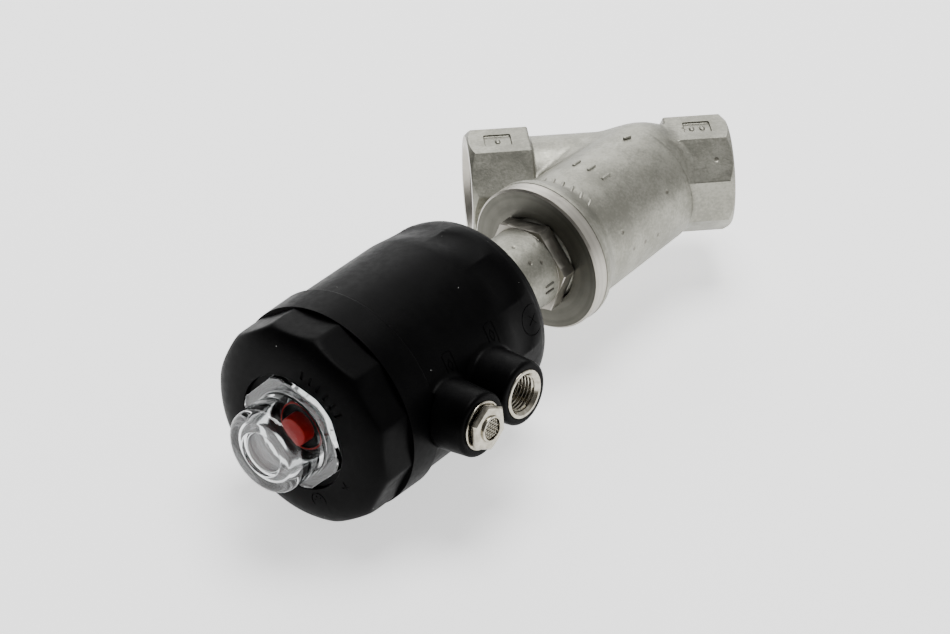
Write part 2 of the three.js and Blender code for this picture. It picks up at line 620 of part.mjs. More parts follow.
function spindle() {
  const { low, r, cone, neckR, neckTop } = SPINDLE_TIP;
  const shoulderT = PISTON_T - 1;
  const shape = turned([
    [0, low], [r, low], [neckR, low + cone], [neckR, neckTop], [SPINDLE_R, neckTop + SPINDLE_R - neckR],
    [SPINDLE_R, shoulderT], [SHANK_R, shoulderT], [SHANK_R, SPINDLE_TOP_T], [0, SPINDLE_TOP_T],
  ], SMALL_ROUND);
  return cut(shape, pinHole(PIN.spindleHoleR));
}

function valvePlug() {
  const {
    spigotR, spigotLow, discLow, discR, discTop, hubLow, hubR, top, socketLow, socketTipR, socketCone,
  } = VALVE_PLUG;
  const outside = turned([
    [0, spigotLow], [spigotR, spigotLow], [spigotR, discLow], [discR, discLow], [discR, discTop],
    [hubR, hubLow], [hubR, top], [0, top],
  ], SMALL_ROUND);
  const socketBore = turned([
    [0, socketLow], [socketTipR, socketLow], [SPINDLE_R, socketLow + socketCone], [SPINDLE_R, top + PAST],
    [0, top + PAST],
  ], SMALL_ROUND);
  return cut(outside, socketBore, pinHole(PIN.plugHoleR));
}

function sealRetainer() {
  const { low, tipR, r, cone, holeR } = RETAINER;
  const washer = turned([[0, low], [tipR, low], [r, low + cone], [r, SEAT_T], [0, SEAT_T]], SMALL_ROUND);
  return cut(washer, rod(holeR, low + cone, SEAT_T + PAST));
}

function piston() {
  const { edge, grooveLow, grooveHigh, grooveR, rim, rimR, floor, hub, hubR, ringSeat } = PISTON;
  const holeR = SHANK_R + SLIDE;
  const outside = turned([
    [0, 0], [PISTON_R - edge, 0], [PISTON_R, edge], [PISTON_R, grooveLow], [grooveR, grooveLow],
    [grooveR, grooveHigh], [PISTON_R, grooveHigh], [PISTON_R, rim], [rimR, rim], [rimR, floor],
    [hubR, floor], [hubR, hub], [0, hub],
  ], PISTON_ROUND);
  const bore = turned([
    [0, -PAST], [SHANK_R + ringSeat, -PAST], [SHANK_R + ringSeat, ringSeat], [holeR, ringSeat],
    [holeR, hub + PAST], [0, hub + PAST],
  ], SMALL_ROUND);
  return cut(outside, bore).translate(0, 0, PISTON_T);
}

function pistonLipSeal() {
  const back = PISTON.grooveR + GAP;
  const low = PISTON.grooveLow + GAP;
  const high = PISTON.grooveHigh - GAP;
  return turned([
    [back, low], [LIP.splitLow, low], [(LIP.splitLow + LIP.splitHigh) / 2, low + LIP.splitDepth],
    [LIP.splitHigh, low], [LIP.tipR, low - LIP.tip], [LIP.backR, high], [back, high],
  ], PISTON_ROUND).translate(0, 0, PISTON_T);
}

const PISTON_WASHER = layer(PISTON_T + PISTON.hub, PISTON.washer);
const PISTON_NUT = layer(PISTON_WASHER.high, PISTON.nut);

const shankWasher = (outer, { low, high }) => tube(SHANK_R + SLIDE, outer, low, high);

const shankNut = (acrossFlats, { low, high }) =>
  cut(prism(acrossFlats, 6, low, high), rod(SHANK_R + SLIDE, low - PAST, high + PAST, SMALL_ROUND));

function positionIndicator() {
  const { low, rootR, foot, footR, footTop, stubR, edge, top } = INDICATOR;
  const outside = turned([
    [0, low], [rootR, low], [rootR, foot - edge], [footR, foot], [footR, footTop], [stubR, footTop],
    [stubR, top - edge], [stubR - edge, top], [0, top],
  ], SMALL_ROUND);
  return cut(outside, rod(SHANK_R + SLIDE, low - PAST, SPINDLE_TOP_T + GAP, SMALL_ROUND));
}

// ---------------------------------------------------------------- assembly

const spindleLine = new THREE.Group();
spindleLine.quaternion.setFromRotationMatrix(SPINDLE_FRAME);

const middleOf = ({ low, high }) => (low + high) / 2;
const numbered = (count, make) => Array.from({ length: count }, (_, index) => make(index));

const bonnet = new THREE.Group();
bonnet.add(
  part("bonnet_nipple", bonnetNipple(), castSteel),
  part("bonnet_gasket", tube(CHAMBER_R - 0.5, NIPPLE_SCREW_R, CHAMBER_TOP_T + GAP, NIPPLE_LOW_T - GAP), ptfe),
  part("packing_support_ring", glandRing(SUPPORT_RING), turnedSteel),
  part("packing_spring", spring(PACKING_SPRING, 10), springSteel),
  part("packing_pressure_ring", glandRing(PRESSURE_RING), turnedSteel),
  ...numbered(CHEVRON.count, (index) => part(`chevron_ring_${index + 1}`, chevronRing(index), ptfe)),
  part("spindle_guide_bush", glandRing(GUIDE_BUSH), greyPolyamide),
  part("spindle_wiper", glandRing(WIPER), rubber),
  part("spindle_seal", glandRing(SPINDLE_SEAL), rubber),
  part("swivel_circlip", swivelCirclip(), springSteel),
);

const housing = new THREE.Group();
housing.rotation.z = HOUSING_TURN;
housing.add(
  part("actuator_base", actuatorBase(), blackPolyamide),
  part("actuator_cover", actuatorCover(), blackPolyamide),
  part("cover_o_ring", ring(COVER_O_RING_R, 1, middleOf(SPIGOT_GROOVE), LARGE_ROUND), rubber),
  part("swivel_washer", swivelWasher(), turnedSteel),
  part("swivel_o_ring", ring(SWIVEL_O_RING_R, 1.5, middleOf(SWIVEL_GROOVE)), rubber),
  part("pilot_port_insert", portInsert(PILOT_T), nickel),
  part("vent_port_insert", portInsert(VENT_T), nickel),
  part("vent_plug", ventPlug(), nickel),
  part("vent_screen", ventScreen(), nickel),
  part("indicator_cap", indicatorCap(), clearCap),
  part("cap_o_ring", ring(CAP_GROOVE.ringR, 1, (CAP_GROOVE.low + CAP_SEAT_T) / 2), rubber),
);

const stem = new THREE.Group();
stem.add(
  part("spindle", spindle(), turnedSteel),
  part("piston", piston(), greyPolyamide),
  part("piston_lip_seal", pistonLipSeal(), rubber),
  part("piston_o_ring", ring(SHANK_R + PISTON.ringSeat / 2 + 0.05, 1.1, PISTON_T + 0.7), rubber),
  part("piston_washer", shankWasher(PISTON.washerR, PISTON_WASHER), turnedSteel),
  part("piston_nut", shankNut(PISTON.nutFlats, PISTON_NUT), turnedSteel),
  part("position_indicator", positionIndicator(), redSignal),
  part("closing_spring", spring(CLOSING_SPRING, 12), springSteel),
);

const plug = new THREE.Group();
plug.add(
  part("valve_plug", valvePlug(), turnedSteel),
  part("seat_seal", tube(SEAT_SEAL.holeR, SEAT_SEAL.r, SEAT_SEAL.low, SEAT_SEAL.high), ptfe),
  part("seal_retainer", sealRetainer(), turnedSteel),
  part("plug_pin", crossRod(PIN.r, PIN.half), turnedSteel),
);

spindleLine.add(bonnet, housing, stem, plug);

const valve = new THREE.Group();
valve.add(part("valve_body", valveBody(), castSteel), spindleLine);

export default valve;
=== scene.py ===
import json
import math

import bpy
import numpy as np
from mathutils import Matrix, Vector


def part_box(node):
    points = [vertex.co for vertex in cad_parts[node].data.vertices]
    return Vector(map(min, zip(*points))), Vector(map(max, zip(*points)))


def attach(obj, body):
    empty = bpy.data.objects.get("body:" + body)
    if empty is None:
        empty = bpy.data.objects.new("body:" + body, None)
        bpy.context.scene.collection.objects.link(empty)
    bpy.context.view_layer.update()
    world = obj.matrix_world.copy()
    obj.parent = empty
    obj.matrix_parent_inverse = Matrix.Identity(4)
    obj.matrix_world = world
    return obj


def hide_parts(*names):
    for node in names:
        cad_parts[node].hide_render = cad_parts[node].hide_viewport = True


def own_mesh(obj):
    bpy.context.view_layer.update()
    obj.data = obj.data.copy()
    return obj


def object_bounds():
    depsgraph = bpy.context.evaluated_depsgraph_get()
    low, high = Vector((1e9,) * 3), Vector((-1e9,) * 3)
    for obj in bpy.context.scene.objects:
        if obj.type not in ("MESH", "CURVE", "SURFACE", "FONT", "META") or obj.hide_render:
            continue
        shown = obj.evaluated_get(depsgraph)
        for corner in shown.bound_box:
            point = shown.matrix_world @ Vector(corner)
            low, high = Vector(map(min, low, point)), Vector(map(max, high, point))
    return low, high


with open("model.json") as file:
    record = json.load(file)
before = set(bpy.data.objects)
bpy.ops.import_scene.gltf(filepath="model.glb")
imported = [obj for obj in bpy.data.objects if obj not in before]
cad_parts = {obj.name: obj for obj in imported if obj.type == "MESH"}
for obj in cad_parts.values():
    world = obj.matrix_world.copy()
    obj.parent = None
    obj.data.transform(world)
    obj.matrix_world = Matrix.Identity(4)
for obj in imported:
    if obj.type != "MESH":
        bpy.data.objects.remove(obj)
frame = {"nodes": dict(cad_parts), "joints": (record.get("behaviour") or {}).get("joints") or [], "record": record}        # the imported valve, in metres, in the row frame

import openvdb
from mathutils import Matrix, Vector

CAD_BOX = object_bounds()

# ---------------------------------------------------------------------------------------------
# Frame of the spindle line. Pieces on it are drawn in millimetres with +Z along the spindle,
# heights measured from the pipe axis, and are then turned into the row frame.
# ---------------------------------------------------------------------------------------------

JOINTS = {joint["name"]: joint for joint in frame["joints"]}
LINE = Vector(JOINTS["stroke"]["axis"]).normalized()
UP = Vector((0, 0, 1))
SIDE = UP.cross(LINE)
HOUSING_TURN = math.radians(4.75)

ROW = Matrix.Identity(3)
SPINDLE = Matrix((SIDE, UP, LINE)).transposed()
HOUSING = SPINDLE @ Matrix.Rotation(HOUSING_TURN, 3, "Z")

# Dimensions in millimetres, the same as the CAD's.
GAP = 0.3                 # left between two pieces that touch
PORT_1_X, PORT_2_X = -46.7, 18.3
END_FLATS, END_LENGTH, END_SIDES = 27.0, 15.6, 8
PIPE_R, FLOW_R = 12.0, 6.5
SOCKET_DEPTHS = {PORT_1_X: 14.0, PORT_2_X: 12.5}
SOCKET_MOUTH_R, THREAD_CORE_R, THREAD_DEPTH, THREAD_PITCH = 11.0, 9.3, 1.15, 1.814
BRANCH_ROOT_R, BRANCH_R, BRANCH_TOP_T = 15.5, 16.2, 48.0
COLLAR_R, COLLAR_T = 18.5, 44.2
CHAMBER_R, CHAMBER_TOP_T, NIPPLE_SCREW_R = 9.6, 30.0, 11.0
SEAT_T, SEAT_LIP, SEAT_FLOOR_T, BELLY_TOP_T = 4.5, 1.5, 2.8, 0.4
BELLY_X, BELLY_Y, BELLY_R = 2.0, 1.6, 8.4
HEX_FLATS, HEX_LOW, HEX_HIGH = 21.0, 48.3, 52.2
HEX_TURN = math.radians(39.375)
NECK_R, NECK_TOP_T, JOURNAL_R, JOURNAL_START_T, JOURNAL_TOP_T = 10.2, 70.2, 8.2, 70.9, 82.4
NIPPLE_LOW_T, SCREW_TOP_T, GLAND_R, GLAND_LOW_T, SPINDLE_HOLE_R = 32.5, 47.0, 6.4, 42.0, 4.3
CIRCLIP_LOW_T, CIRCLIP_HIGH_T, CIRCLIP_DEPTH = 81.0, 82.0, 1.0
HOUSING_T, BARREL_R, SEAM_T = 71.2, 24.5, 115.7
BASE_FLATS, BASE_FLATS_TOP_T, BARREL_START_T, BASE_EDGE_R = 46.4, 82.0, 87.0, 4.6
SPIGOT_R, SPIGOT_TOP_T, CYLINDER_R, CYLINDER_FLOOR_T = 22.0, 122.5, 20.0, 84.0
SWIVEL_BORE_R = JOURNAL_R + 0.25
O_RING_R, O_RING_LOW_T, O_RING_HIGH_T = 10.2, 74.6, 76.4
WASHER_R, WASHER_LOW_T = 12.5, 79.2
SKIRT_R, SKIRT_TOP_R, SKIRT_TOP_T = 25.4, 25.25, 124.3
COVER_FLATS, COVER_FLATS_TOP_T, COVER_TOP_T, DOME_R, DOME_INWARD = 48.3, 131.2, 136.2, 25.1, 10.0
COVER_BORE_R, COVER_BORE_CONE_R, COVER_CEILING_T = 20.8, 17.0, 131.6
COVER_CONE_T, COVER_BORE_T, CAP_GROOVE_R, CAP_GROOVE_T = 128.0, 124.0, 12.2, 133.6
FACETS = 12
PILOT_T, VENT_T, BOSS_REACH, BOSS_START = 96.2, 111.2, 34.1, 24.0
CHANNEL_X, PILOT_CHANNEL_R, VENT_CHANNEL_R = 27.5, 1.2, 1.6
BOSS_TIP_R, BOSS_ROOT_R = 7.6, 8.2
INSERT_R, INSERT_BORE_R, INSERT_LENGTH, INSERT_REACH = 5.8, 4.3, 7.4, 34.4
PILOT_PITCH = 0.907
CAP_RECESS_R, CAP_SEAT_T, CAP_FLATS, CAP_CORNER_R = 14.3, 134.9, 25.5, 13.9
CAP_BODY_R, CAP_TOP_T, CAP_HOLE_R, CAP_INNER_R, CAP_INNER_TOP_T = 10.3, 146.6, 9.6, 7.9, 144.4
CAP_FLANGE, CAP_LOW_T, CAP_DISH_R, CAP_DISH_DEPTH = 1.6, 129.5, 5.6, 0.9
SPINDLE_TIP_R, SPINDLE_TIP_T = 3.25, 133.3
INDICATOR_LOW_T, INDICATOR_ROOT_R, INDICATOR_STUB_R, INDICATOR_TOP_T = 128.5, 5.2, 3.5, 136.9
INDICATOR_FOOT_R, INDICATOR_FOOT_T, INDICATOR_FOOT_TOP_T = 6.0, 131.9, 134.2
SPRING_R, SPRING_WIRE, SPRING_LOW_T, SPRING_HIGH_T, SPRING_TURNS = 14.0, 2.8, 93.7, 131.0, 6
ROOM_GLOW = 0.17          # brightness of the room away from its bright sides


def steps(fine):
    """A mesh density: always the fine one it is given."""
    return fine


# ---- Meshes ----

def place(points, turn):
    """Millimetre points in one of the three frames above, as metres in the row frame."""
    return np.asarray(points, float) @ np.array(turn).T * 0.001


def outward(points, faces):
    """The same faces, reversed if the closed mesh is inside out."""
    volume = 0.0
    for face in faces:
        a = points[face[0]]
        for b, c in zip(face[1:-1], face[2:]):
            volume += float(np.dot(a, np.cross(points[b], points[c])))
    return faces if volume > 0 else [face[::-1] for face in faces]


def add_object(name, data):
    added = bpy.data.objects.new(name, data)
    bpy.context.scene.collection.objects.link(added)
    return added


def make(name, points, faces, turn=ROW, sharp=32):
    """A mesh object from millimetre points, smooth except at edges sharper than `sharp` degrees."""
    mesh = bpy.data.meshes.new(name)
    mesh.from_pydata(place(points, turn).tolist(), [], faces)
    mesh.validate()
    piece = add_object(name, mesh)
    soften(piece, sharp)
    return piece


def soften(piece, sharp=32):
    mesh = piece.data
    mesh.shade_smooth()
    mesh.set_sharp_from_angle(angle=math.radians(sharp))


def rounded(corners, count=6, closed=False):
    """Outline through (radius, height, fillet) corners, each fillet as an arc of `count` steps."""
    outline = []
    total = len(corners)
    for i, (x, y, fillet) in enumerate(corners):
        here = np.array((x, y), float)
        ends = not closed and i in (0, total - 1)
        if fillet <= 0 or ends:
            outline.append(here)
            continue
        before = np.array(corners[(i - 1) % total][:2], float) - here
        after = np.array(corners[(i + 1) % total][:2], float) - here
        before /= np.linalg.norm(before)
        after /= np.linalg.norm(after)
        half = math.acos(np.clip(before @ after, -1, 1)) / 2
        run = fillet / math.tan(half)
        bisector = (before + after) / np.linalg.norm(before + after)
        middle = here + bisector * fillet / math.sin(half)
        start, end = here + before * run - middle, here + after * run - middle
        sweep = math.atan2(start[0] * end[1] - start[1] * end[0], start @ end)
        for k in range(count + 1):
            angle = sweep * k / count
            cos, sin = math.cos(angle), math.sin(angle)
            outline.append(middle + (start[0] * cos - start[1] * sin, start[0] * sin + start[1] * cos))
    return [tuple(point) for point in outline]


def refine(outline, longest):
    """The outline with no stretch longer than `longest`."""
    result = [outline[0]]
    for a, b in zip(outline, outline[1:]):
        pieces = max(1, math.ceil(math.dist(a, b) / longest))
        for k in range(1, pieces + 1):
            result.append((a[0] + (b[0] - a[0]) * k / pieces, a[1] + (b[1] - a[1]) * k / pieces))
    return result


def lathe(outline, segments=192, shape=None, closed=False):
    """Points and faces of a turned solid. `shape` may change the radius: shape(radius, height, angle)."""
    profile = np.array(outline, float)
    angle = np.arange(segments) * 2 * math.pi / segments
    radius = np.repeat(profile[:, :1], segments, axis=1)
    height = np.repeat(profile[:, 1:], segments, axis=1)
    if shape is not None:
        radius = np.where(radius > 0, shape(radius, height, angle[None, :]), 0)
    rings = [(0, None)] * len(profile)
    points, first = [], 0
    for i in range(len(profile)):
        if profile[i, 0] <= 0:
            points.append(np.array([[0, 0, profile[i, 1]]]))
            rings[i] = (first, 1)
            first += 1
            continue
        row = np.stack([radius[i] * np.cos(angle), radius[i] * np.sin(angle), height[i]], axis=1)
        points.append(row)
        rings[i] = (first, segments)
        first += segments
    pairs = list(zip(range(len(profile)), range(1, len(profile))))
    if closed:
        pairs.append((len(profile) - 1, 0))
    faces = []
    for i, j in pairs:
        (a, na), (b, nb) = rings[i], rings[j]
        for k in range(segments):
            n = (k + 1) % segments
            if na == 1 and nb == 1:
                break
            if na == 1:
                faces.append((a, b + n, b + k))
            elif nb == 1:
                faces.append((a + k, a + n, b))
            else:
                faces.append((a + k, a + n, b + n, b + k))
    points = np.concatenate(points)
    return points, outward(points, faces)


def level_set(field, low, high, cell):
    """Points and faces of the surface where field(x, y, z) is 0, drawn onto the true surface."""
    low = np.array(low, float)
    axes = [np.arange(a, b + cell, cell) for a, b in zip(low, high)]
    x, y, z = np.meshgrid(*axes, indexing="ij", sparse=True)
    values = np.broadcast_to(field(x, y, z), [len(axis) for axis in axes])
    grid = openvdb.FloatGrid(4 * cell)
    grid.copyFromArray(np.ascontiguousarray(np.clip(values, -4 * cell, 4 * cell), dtype=np.float32))
    points, quads = grid.convertToQuads(isovalue=0.0)
    points = low + np.asarray(points, float) * cell
    for _ in range(2):
        here = field(*points.T)
        reach = cell * 0.1
        slope = np.stack([
            field(*(points + np.eye(3)[i] * reach).T) - field(*(points - np.eye(3)[i] * reach).T)
            for i in range(3)
        ], axis=1) / (2 * reach)
        step = here / np.maximum((slope ** 2).sum(axis=1), 0.3)
        points = points - slope * np.clip(step, -cell, cell)[:, None]
    faces = [tuple(int(v) for v in quad) for quad in quads]
    sample = faces[:: max(1, len(faces) // 4000)]
    tilt = 0.0
    for a, b, c, d in sample:
        normal = np.cross(points[c] - points[a], points[d] - points[b])
        middle = (points[a] + points[c]) / 2
        unit = normal / (np.linalg.norm(normal) + 1e-12) * cell * 0.5
        tilt += float(field(*(middle + unit)) - field(*(middle - unit)))
    return points, (faces if tilt > 0 else [face[::-1] for face in faces])


def carve(piece, *tools, operation="DIFFERENCE", sharp=32):
    """Cuts the tools out of the piece, or joins them to it, and deletes them."""
    for tool in tools:
        modifier = piece.modifiers.new("carve", "BOOLEAN")
        modifier.solver = "MANIFOLD"
        modifier.operation = operation
        modifier.object = tool
        bpy.context.view_layer.update()
        result = bpy.data.meshes.new_from_object(piece.evaluated_get(bpy.context.evaluated_depsgraph_get()))
        piece.modifiers.clear()
        if len(result.vertices) < 8:
            raise ValueError(f"cutting {tool.name} from {piece.name} left nothing")
        piece.data = result
        bpy.data.objects.remove(tool)
    soften(piece, sharp)
    return piece


def along_x(points):
    """Points drawn about Z, turned so that Z runs along X."""
    return np.stack([points[:, 2], points[:, 1], -points[:, 0]], axis=1)


def joined(parts):
    """Several (points, faces) as one."""
    points, faces, offset = [], [], 0
    for more, quads in parts:
        points.append(np.asarray(more, float))
        faces += [tuple(v + offset for v in quad) for quad in quads]
        offset += len(more)
    return np.concatenate(points), faces


def wire(path, radius, sides=8, closed=False):
    """Points and faces of a round wire along a path of points."""
    path = np.asarray(path, float)
    count = len(path)
    if closed:
        tangent = np.roll(path, -1, axis=0) - np.roll(path, 1, axis=0)
    else:
        tangent = np.gradient(path, axis=0)
    tangent /= np.linalg.norm(tangent, axis=1)[:, None]
    normal = np.cross(tangent, (0.31, 0.57, 0.76))
    normal /= np.linalg.norm(normal, axis=1)[:, None]
    other = np.cross(tangent, normal)
    angle = np.arange(sides) * 2 * math.pi / sides
    points = (path[:, None] + radius * (np.cos(angle)[None, :, None] * normal[:, None]
                                        + np.sin(angle)[None, :, None] * other[:, None])).reshape(-1, 3)
    faces = []
    for i in range(count if closed else count - 1):
        j = (i + 1) % count
        for k in range(sides):
            n = (k + 1) % sides
            faces.append((i * sides + k, i * sides + n, j * sides + n, j * sides + k))
    if not closed:
        faces.append(tuple(range(sides))[::-1])
        faces.append(tuple((count - 1) * sides + k for k in range(sides)))
    return points, outward(points, faces)


def from_flat(angle, sides, turn):
    """Angle from the middle of the nearest of `sides` flats, one of which faces `turn`."""
    sector = 2 * math.pi / sides
    local = angle - turn
    return local - sector * np.round(local / sector)


def tube(inner, outer, low, high, segments):
    """Points and faces of a plain ring about Z, or of a disc where `inner` is 0."""
    return lathe([(inner, low), (outer, low), (outer, high), (inner, high)], segments, closed=True)


def ray(degrees, length=1.0):
    """A level vector at an angle from +X."""
    angle = math.radians(degrees)
    return np.array((math.cos(angle), math.sin(angle), 0)) * length


def crossed(centre, size, radius, lean):
    """Two wires crossed at right angles, the first at `lean` degrees."""
    runs = [ray(lean + turn, size) for turn in (0, 90)]
    return [wire([centre - run, centre + run], radius, 8) for run in runs]


def prismatic(inner, corner, across, sides, turn, low, high):
    """Draws a turned band in to flats, for radii from `inner` to `corner`."""
    def shape(radius, height, angle):
        plane = across / 2 / np.cos(from_flat(angle, sides, turn))
        share = (radius - inner) / (corner - inner)
        banded = (height > low - 0.01) & (height < high + 0.01) & (radius > inner)
        return np.where(banded, inner + share * (plane - inner), radius)
    return shape


# ---- Distance fields, negative inside: round_min joins with a fillet, round_max rounds the edge ----

def round_min(a, b, radius):
    inside = np.sqrt(np.maximum(radius - a, 0) ** 2 + np.maximum(radius - b, 0) ** 2)
    return np.maximum(radius, np.minimum(a, b)) - inside


def round_max(a, b, radius):
    return -round_min(-a, -b, radius)


def flats(x, y, across, sides, turn):
    """Distance to a prism about Z with a flat facing the angle `turn`."""
    local = from_flat(np.arctan2(y, x), sides, turn)
    return np.sqrt(x * x + y * y) * np.cos(local) - across / 2


def slab(value, low, high):
    return np.abs(value - (low + high) / 2) - (high - low) / 2


def row_to_line(x, y, z):
    """Height along the spindle line and distance from it, for row-frame points."""
    height = x * LINE.x + y * LINE.y
    side = x * SIDE.x + y * SIDE.y
    return height, np.sqrt(side * side + z * z)


# ---- Materials ----

def add_node(tree, kind, inputs=None, **settings):
    """A new shader node; each input is a value, or a socket to link from."""
    made = tree.nodes.new(kind)
    for key, value in settings.items():
        setattr(made, key, value)
    for key, value in (inputs or {}).items():
        if isinstance(value, bpy.types.NodeSocket):
            tree.links.new(value, made.inputs[key])
        else:
            made.inputs[key].default_value = value
    return made


class Paint:
    """A procedural material, built up by short calls. Lengths are in metres on the object."""

    def __init__(self, name, metallic=0.0, **sockets):
        self.material = bpy.data.materials.new(name)
        self.material.use_nodes = True
        self.tree = self.material.node_tree
        self.shader = self.tree.nodes["Principled BSDF"]
        self.shader.inputs["Metallic"].default_value = metallic
        for socket, value in sockets.items():
            self.shader.inputs[socket.replace("_", " ")].default_value = value
        self.where = self.node("ShaderNodeTexCoord").outputs["Object"]
        self.bump = None

    def node(self, kind, inputs=None, **settings):
        return add_node(self.tree, kind, inputs, **settings)

    def noise(self, size, detail=3.0, roughness=0.55, vector=None, distortion=0.0):
        inputs = {
            "Vector": vector or self.where, "Scale": 1 / size, "Detail": detail,
            "Roughness": roughness, "Distortion": distortion,
        }
        return self.node("ShaderNodeTexNoise", inputs).outputs["Fac"]

    def math(self, operation, a, b=0.0, c=0.0, clamp=False):
        made = self.node("ShaderNodeMath", {0: a, 1: b, 2: c}, operation=operation, use_clamp=clamp)
        return made.outputs[0]

    def vector(self, operation, output="Vector", **inputs):
        """A vector operation on sockets or values given as a, b and Scale."""
        numbered = {{"a": 0, "b": 1}.get(key, key): value for key, value in inputs.items()}
        return self.node("ShaderNodeVectorMath", numbered, operation=operation).outputs[output]

    def ramp(self, value, low, high, to_low=0.0, to_high=1.0, smooth=True):
        kind = "SMOOTHSTEP" if smooth else "LINEAR"
        inputs = {"Value": value, "From Min": low, "From Max": high, "To Min": to_low, "To Max": to_high}
        return self.node("ShaderNodeMapRange", inputs, interpolation_type=kind).outputs["Result"]

    def mix(self, share, a, b):
        """Blends two colours, the seventh and eighth inputs of the node."""
        ends = [v if isinstance(v, bpy.types.NodeSocket) else (*v, 1.0) for v in (a, b)]
        inputs = {"Factor": share, 6: ends[0], 7: ends[1]}
        return self.node("ShaderNodeMix", inputs, data_type="RGBA").outputs[2]

    def colour(self, value):
        self.tree.links.new(value, self.shader.inputs["Base Color"])
        return self

    def rough(self, value):
        self.tree.links.new(value, self.shader.inputs["Roughness"])
        return self

    def relief(self, height, depth):
        """Adds a bump of `depth` metres."""
        inputs = {"Height": height, "Strength": 1.0, "Distance": depth}
        if self.bump is not None:
            inputs["Normal"] = self.bump
        self.bump = self.node("ShaderNodeBump", inputs).outputs["Normal"]
        self.tree.links.new(self.bump, self.shader.inputs["Normal"])
        return self

    def cells(self, size, share):
        """1 in a random `share` of cells of that size, and the distance from the cell's middle."""
        cells = self.node("ShaderNodeTexVoronoi", {"Vector": self.where, "Scale": 1 / size})
        number = self.node("ShaderNodeSeparateColor", {"Color": cells.outputs["Color"]}).outputs["Red"]
        return self.math("LESS_THAN", number, share), cells.outputs["Distance"]

    def pits(self, size, share, depth):
        """Small round pits: one in each chosen cell of `size`."""
        chosen, distance = self.cells(size, share)
        mask = self.math("MULTIPLY", chosen, self.ramp(distance, 0.08, 0.22, 1.0, 0.0))
        self.relief(self.math("SUBTRACT", 1.0, mask), depth)
        return mask


def cast_steel():
    paint = Paint("cast_steel", metallic=1.0)
    cloud = paint.noise(0.009, detail=4)
    speck = paint.noise(0.0007, detail=2)
    tone = paint.math("ADD", paint.math("MULTIPLY", cloud, 0.6), paint.math("MULTIPLY", speck, 0.4))
    light = paint.mix(paint.ramp(tone, 0.38, 0.62), (0.225, 0.222, 0.188), (0.315, 0.31, 0.266))
    pit = paint.pits(0.0034, 0.16, 0.00012)
    paint.colour(paint.mix(paint.math("MULTIPLY", pit, 0.6), light, (0.10, 0.09, 0.07)))
    paint.rough(paint.ramp(paint.noise(0.004), 0.3, 0.7, 0.40, 0.5))
    paint.relief(paint.noise(0.0022, detail=2), 0.00007)
    paint.relief(paint.noise(0.00034, detail=2), 0.00003)
    return paint.material


def radial_place(paint, axis):
    """Distance from the line through the origin along `axis`, plus the height along it."""
    unit = tuple(Vector(axis).normalized())
    height = paint.vector("DOT_PRODUCT", "Value", a=paint.where, b=unit)
    away = paint.vector("SUBTRACT", a=paint.where, b=paint.vector("SCALE", a=unit, Scale=height))
    distance = paint.vector("LENGTH", "Value", a=away)
    return paint.math("ADD", distance, height), away, unit


def turned_steel(name, axis, colour=(0.40, 0.38, 0.335), roughness=(0.30, 0.42)):
    """Lathe-turned steel, with fine grooves round the line along `axis` through the origin."""
    paint = Paint(name, metallic=1.0, Anisotropic=0.15)
    along, away, unit = radial_place(paint, axis)
    groove, band = (
        paint.node("ShaderNodeTexNoise", {"W": along, "Scale": scale, "Detail": detail},
                   noise_dimensions="1D").outputs["Fac"]
        for scale, detail in ((5200.0, 2.0), (700.0, 1.0))
    )
    dark = tuple(c * 0.88 for c in colour)
    paint.colour(paint.mix(paint.ramp(band, 0.35, 0.65), dark, colour))
    paint.rough(paint.ramp(paint.noise(0.003), 0.3, 0.7, *roughness))
    paint.relief(groove, 0.000012)
    tangent = paint.vector("CROSS_PRODUCT", a=unit, b=away)
    paint.tree.links.new(tangent, paint.shader.inputs["Tangent"])
    return paint.material


def moulded(name, dark, light, roughness, grain=0.00025, depth=0.000012, dust=0.0, specular=0.45):
    """Moulded plastic: slight mottling, fine grain, and a little pale dust where asked for."""
    paint = Paint(name, Specular_IOR_Level=specular)
    tone = paint.mix(paint.ramp(paint.noise(0.006, detail=5), 0.35, 0.65), dark, light)
    if dust:
        chosen, distance = paint.cells(0.0021, dust)
        speck = paint.math("LESS_THAN", distance, 0.055)
        tone = paint.mix(paint.math("MULTIPLY", chosen, speck), tone, (0.35, 0.35, 0.34))
    paint.colour(tone)
    paint.rough(paint.ramp(paint.noise(0.0016, detail=4), 0.3, 0.7, *roughness))
    paint.relief(paint.noise(grain, detail=2), depth)
    paint.relief(paint.noise(0.003, detail=2), 0.00002)
    return paint.material


def bright_metal(name, patch, dark, light, gloss_patch, roughness, grain, depth):
    """Bright metal with slight clouding of its tone and gloss, and a fine grain."""
    paint = Paint(name, metallic=1.0)
    paint.colour(paint.mix(paint.ramp(paint.noise(patch), 0.35, 0.65), dark, light))
    paint.rough(paint.ramp(paint.noise(gloss_patch), 0.3, 0.7, *roughness))
    paint.relief(paint.noise(grain, detail=2), depth)
    return paint.material


def clear_plastic():
    paint = Paint("clear_cap", Transmission_Weight=1.0, IOR=1.49, Specular_IOR_Level=0.28)
    haze = paint.noise(0.002, detail=3)
    paint.colour(paint.mix(paint.ramp(haze, 0.3, 0.7), (0.86, 0.875, 0.875), (0.80, 0.82, 0.825)))
    paint.rough(paint.ramp(haze, 0.3, 0.8, 0.015, 0.05))
    paint.relief(paint.noise(0.0035, detail=1), 0.00002)
    return paint.material


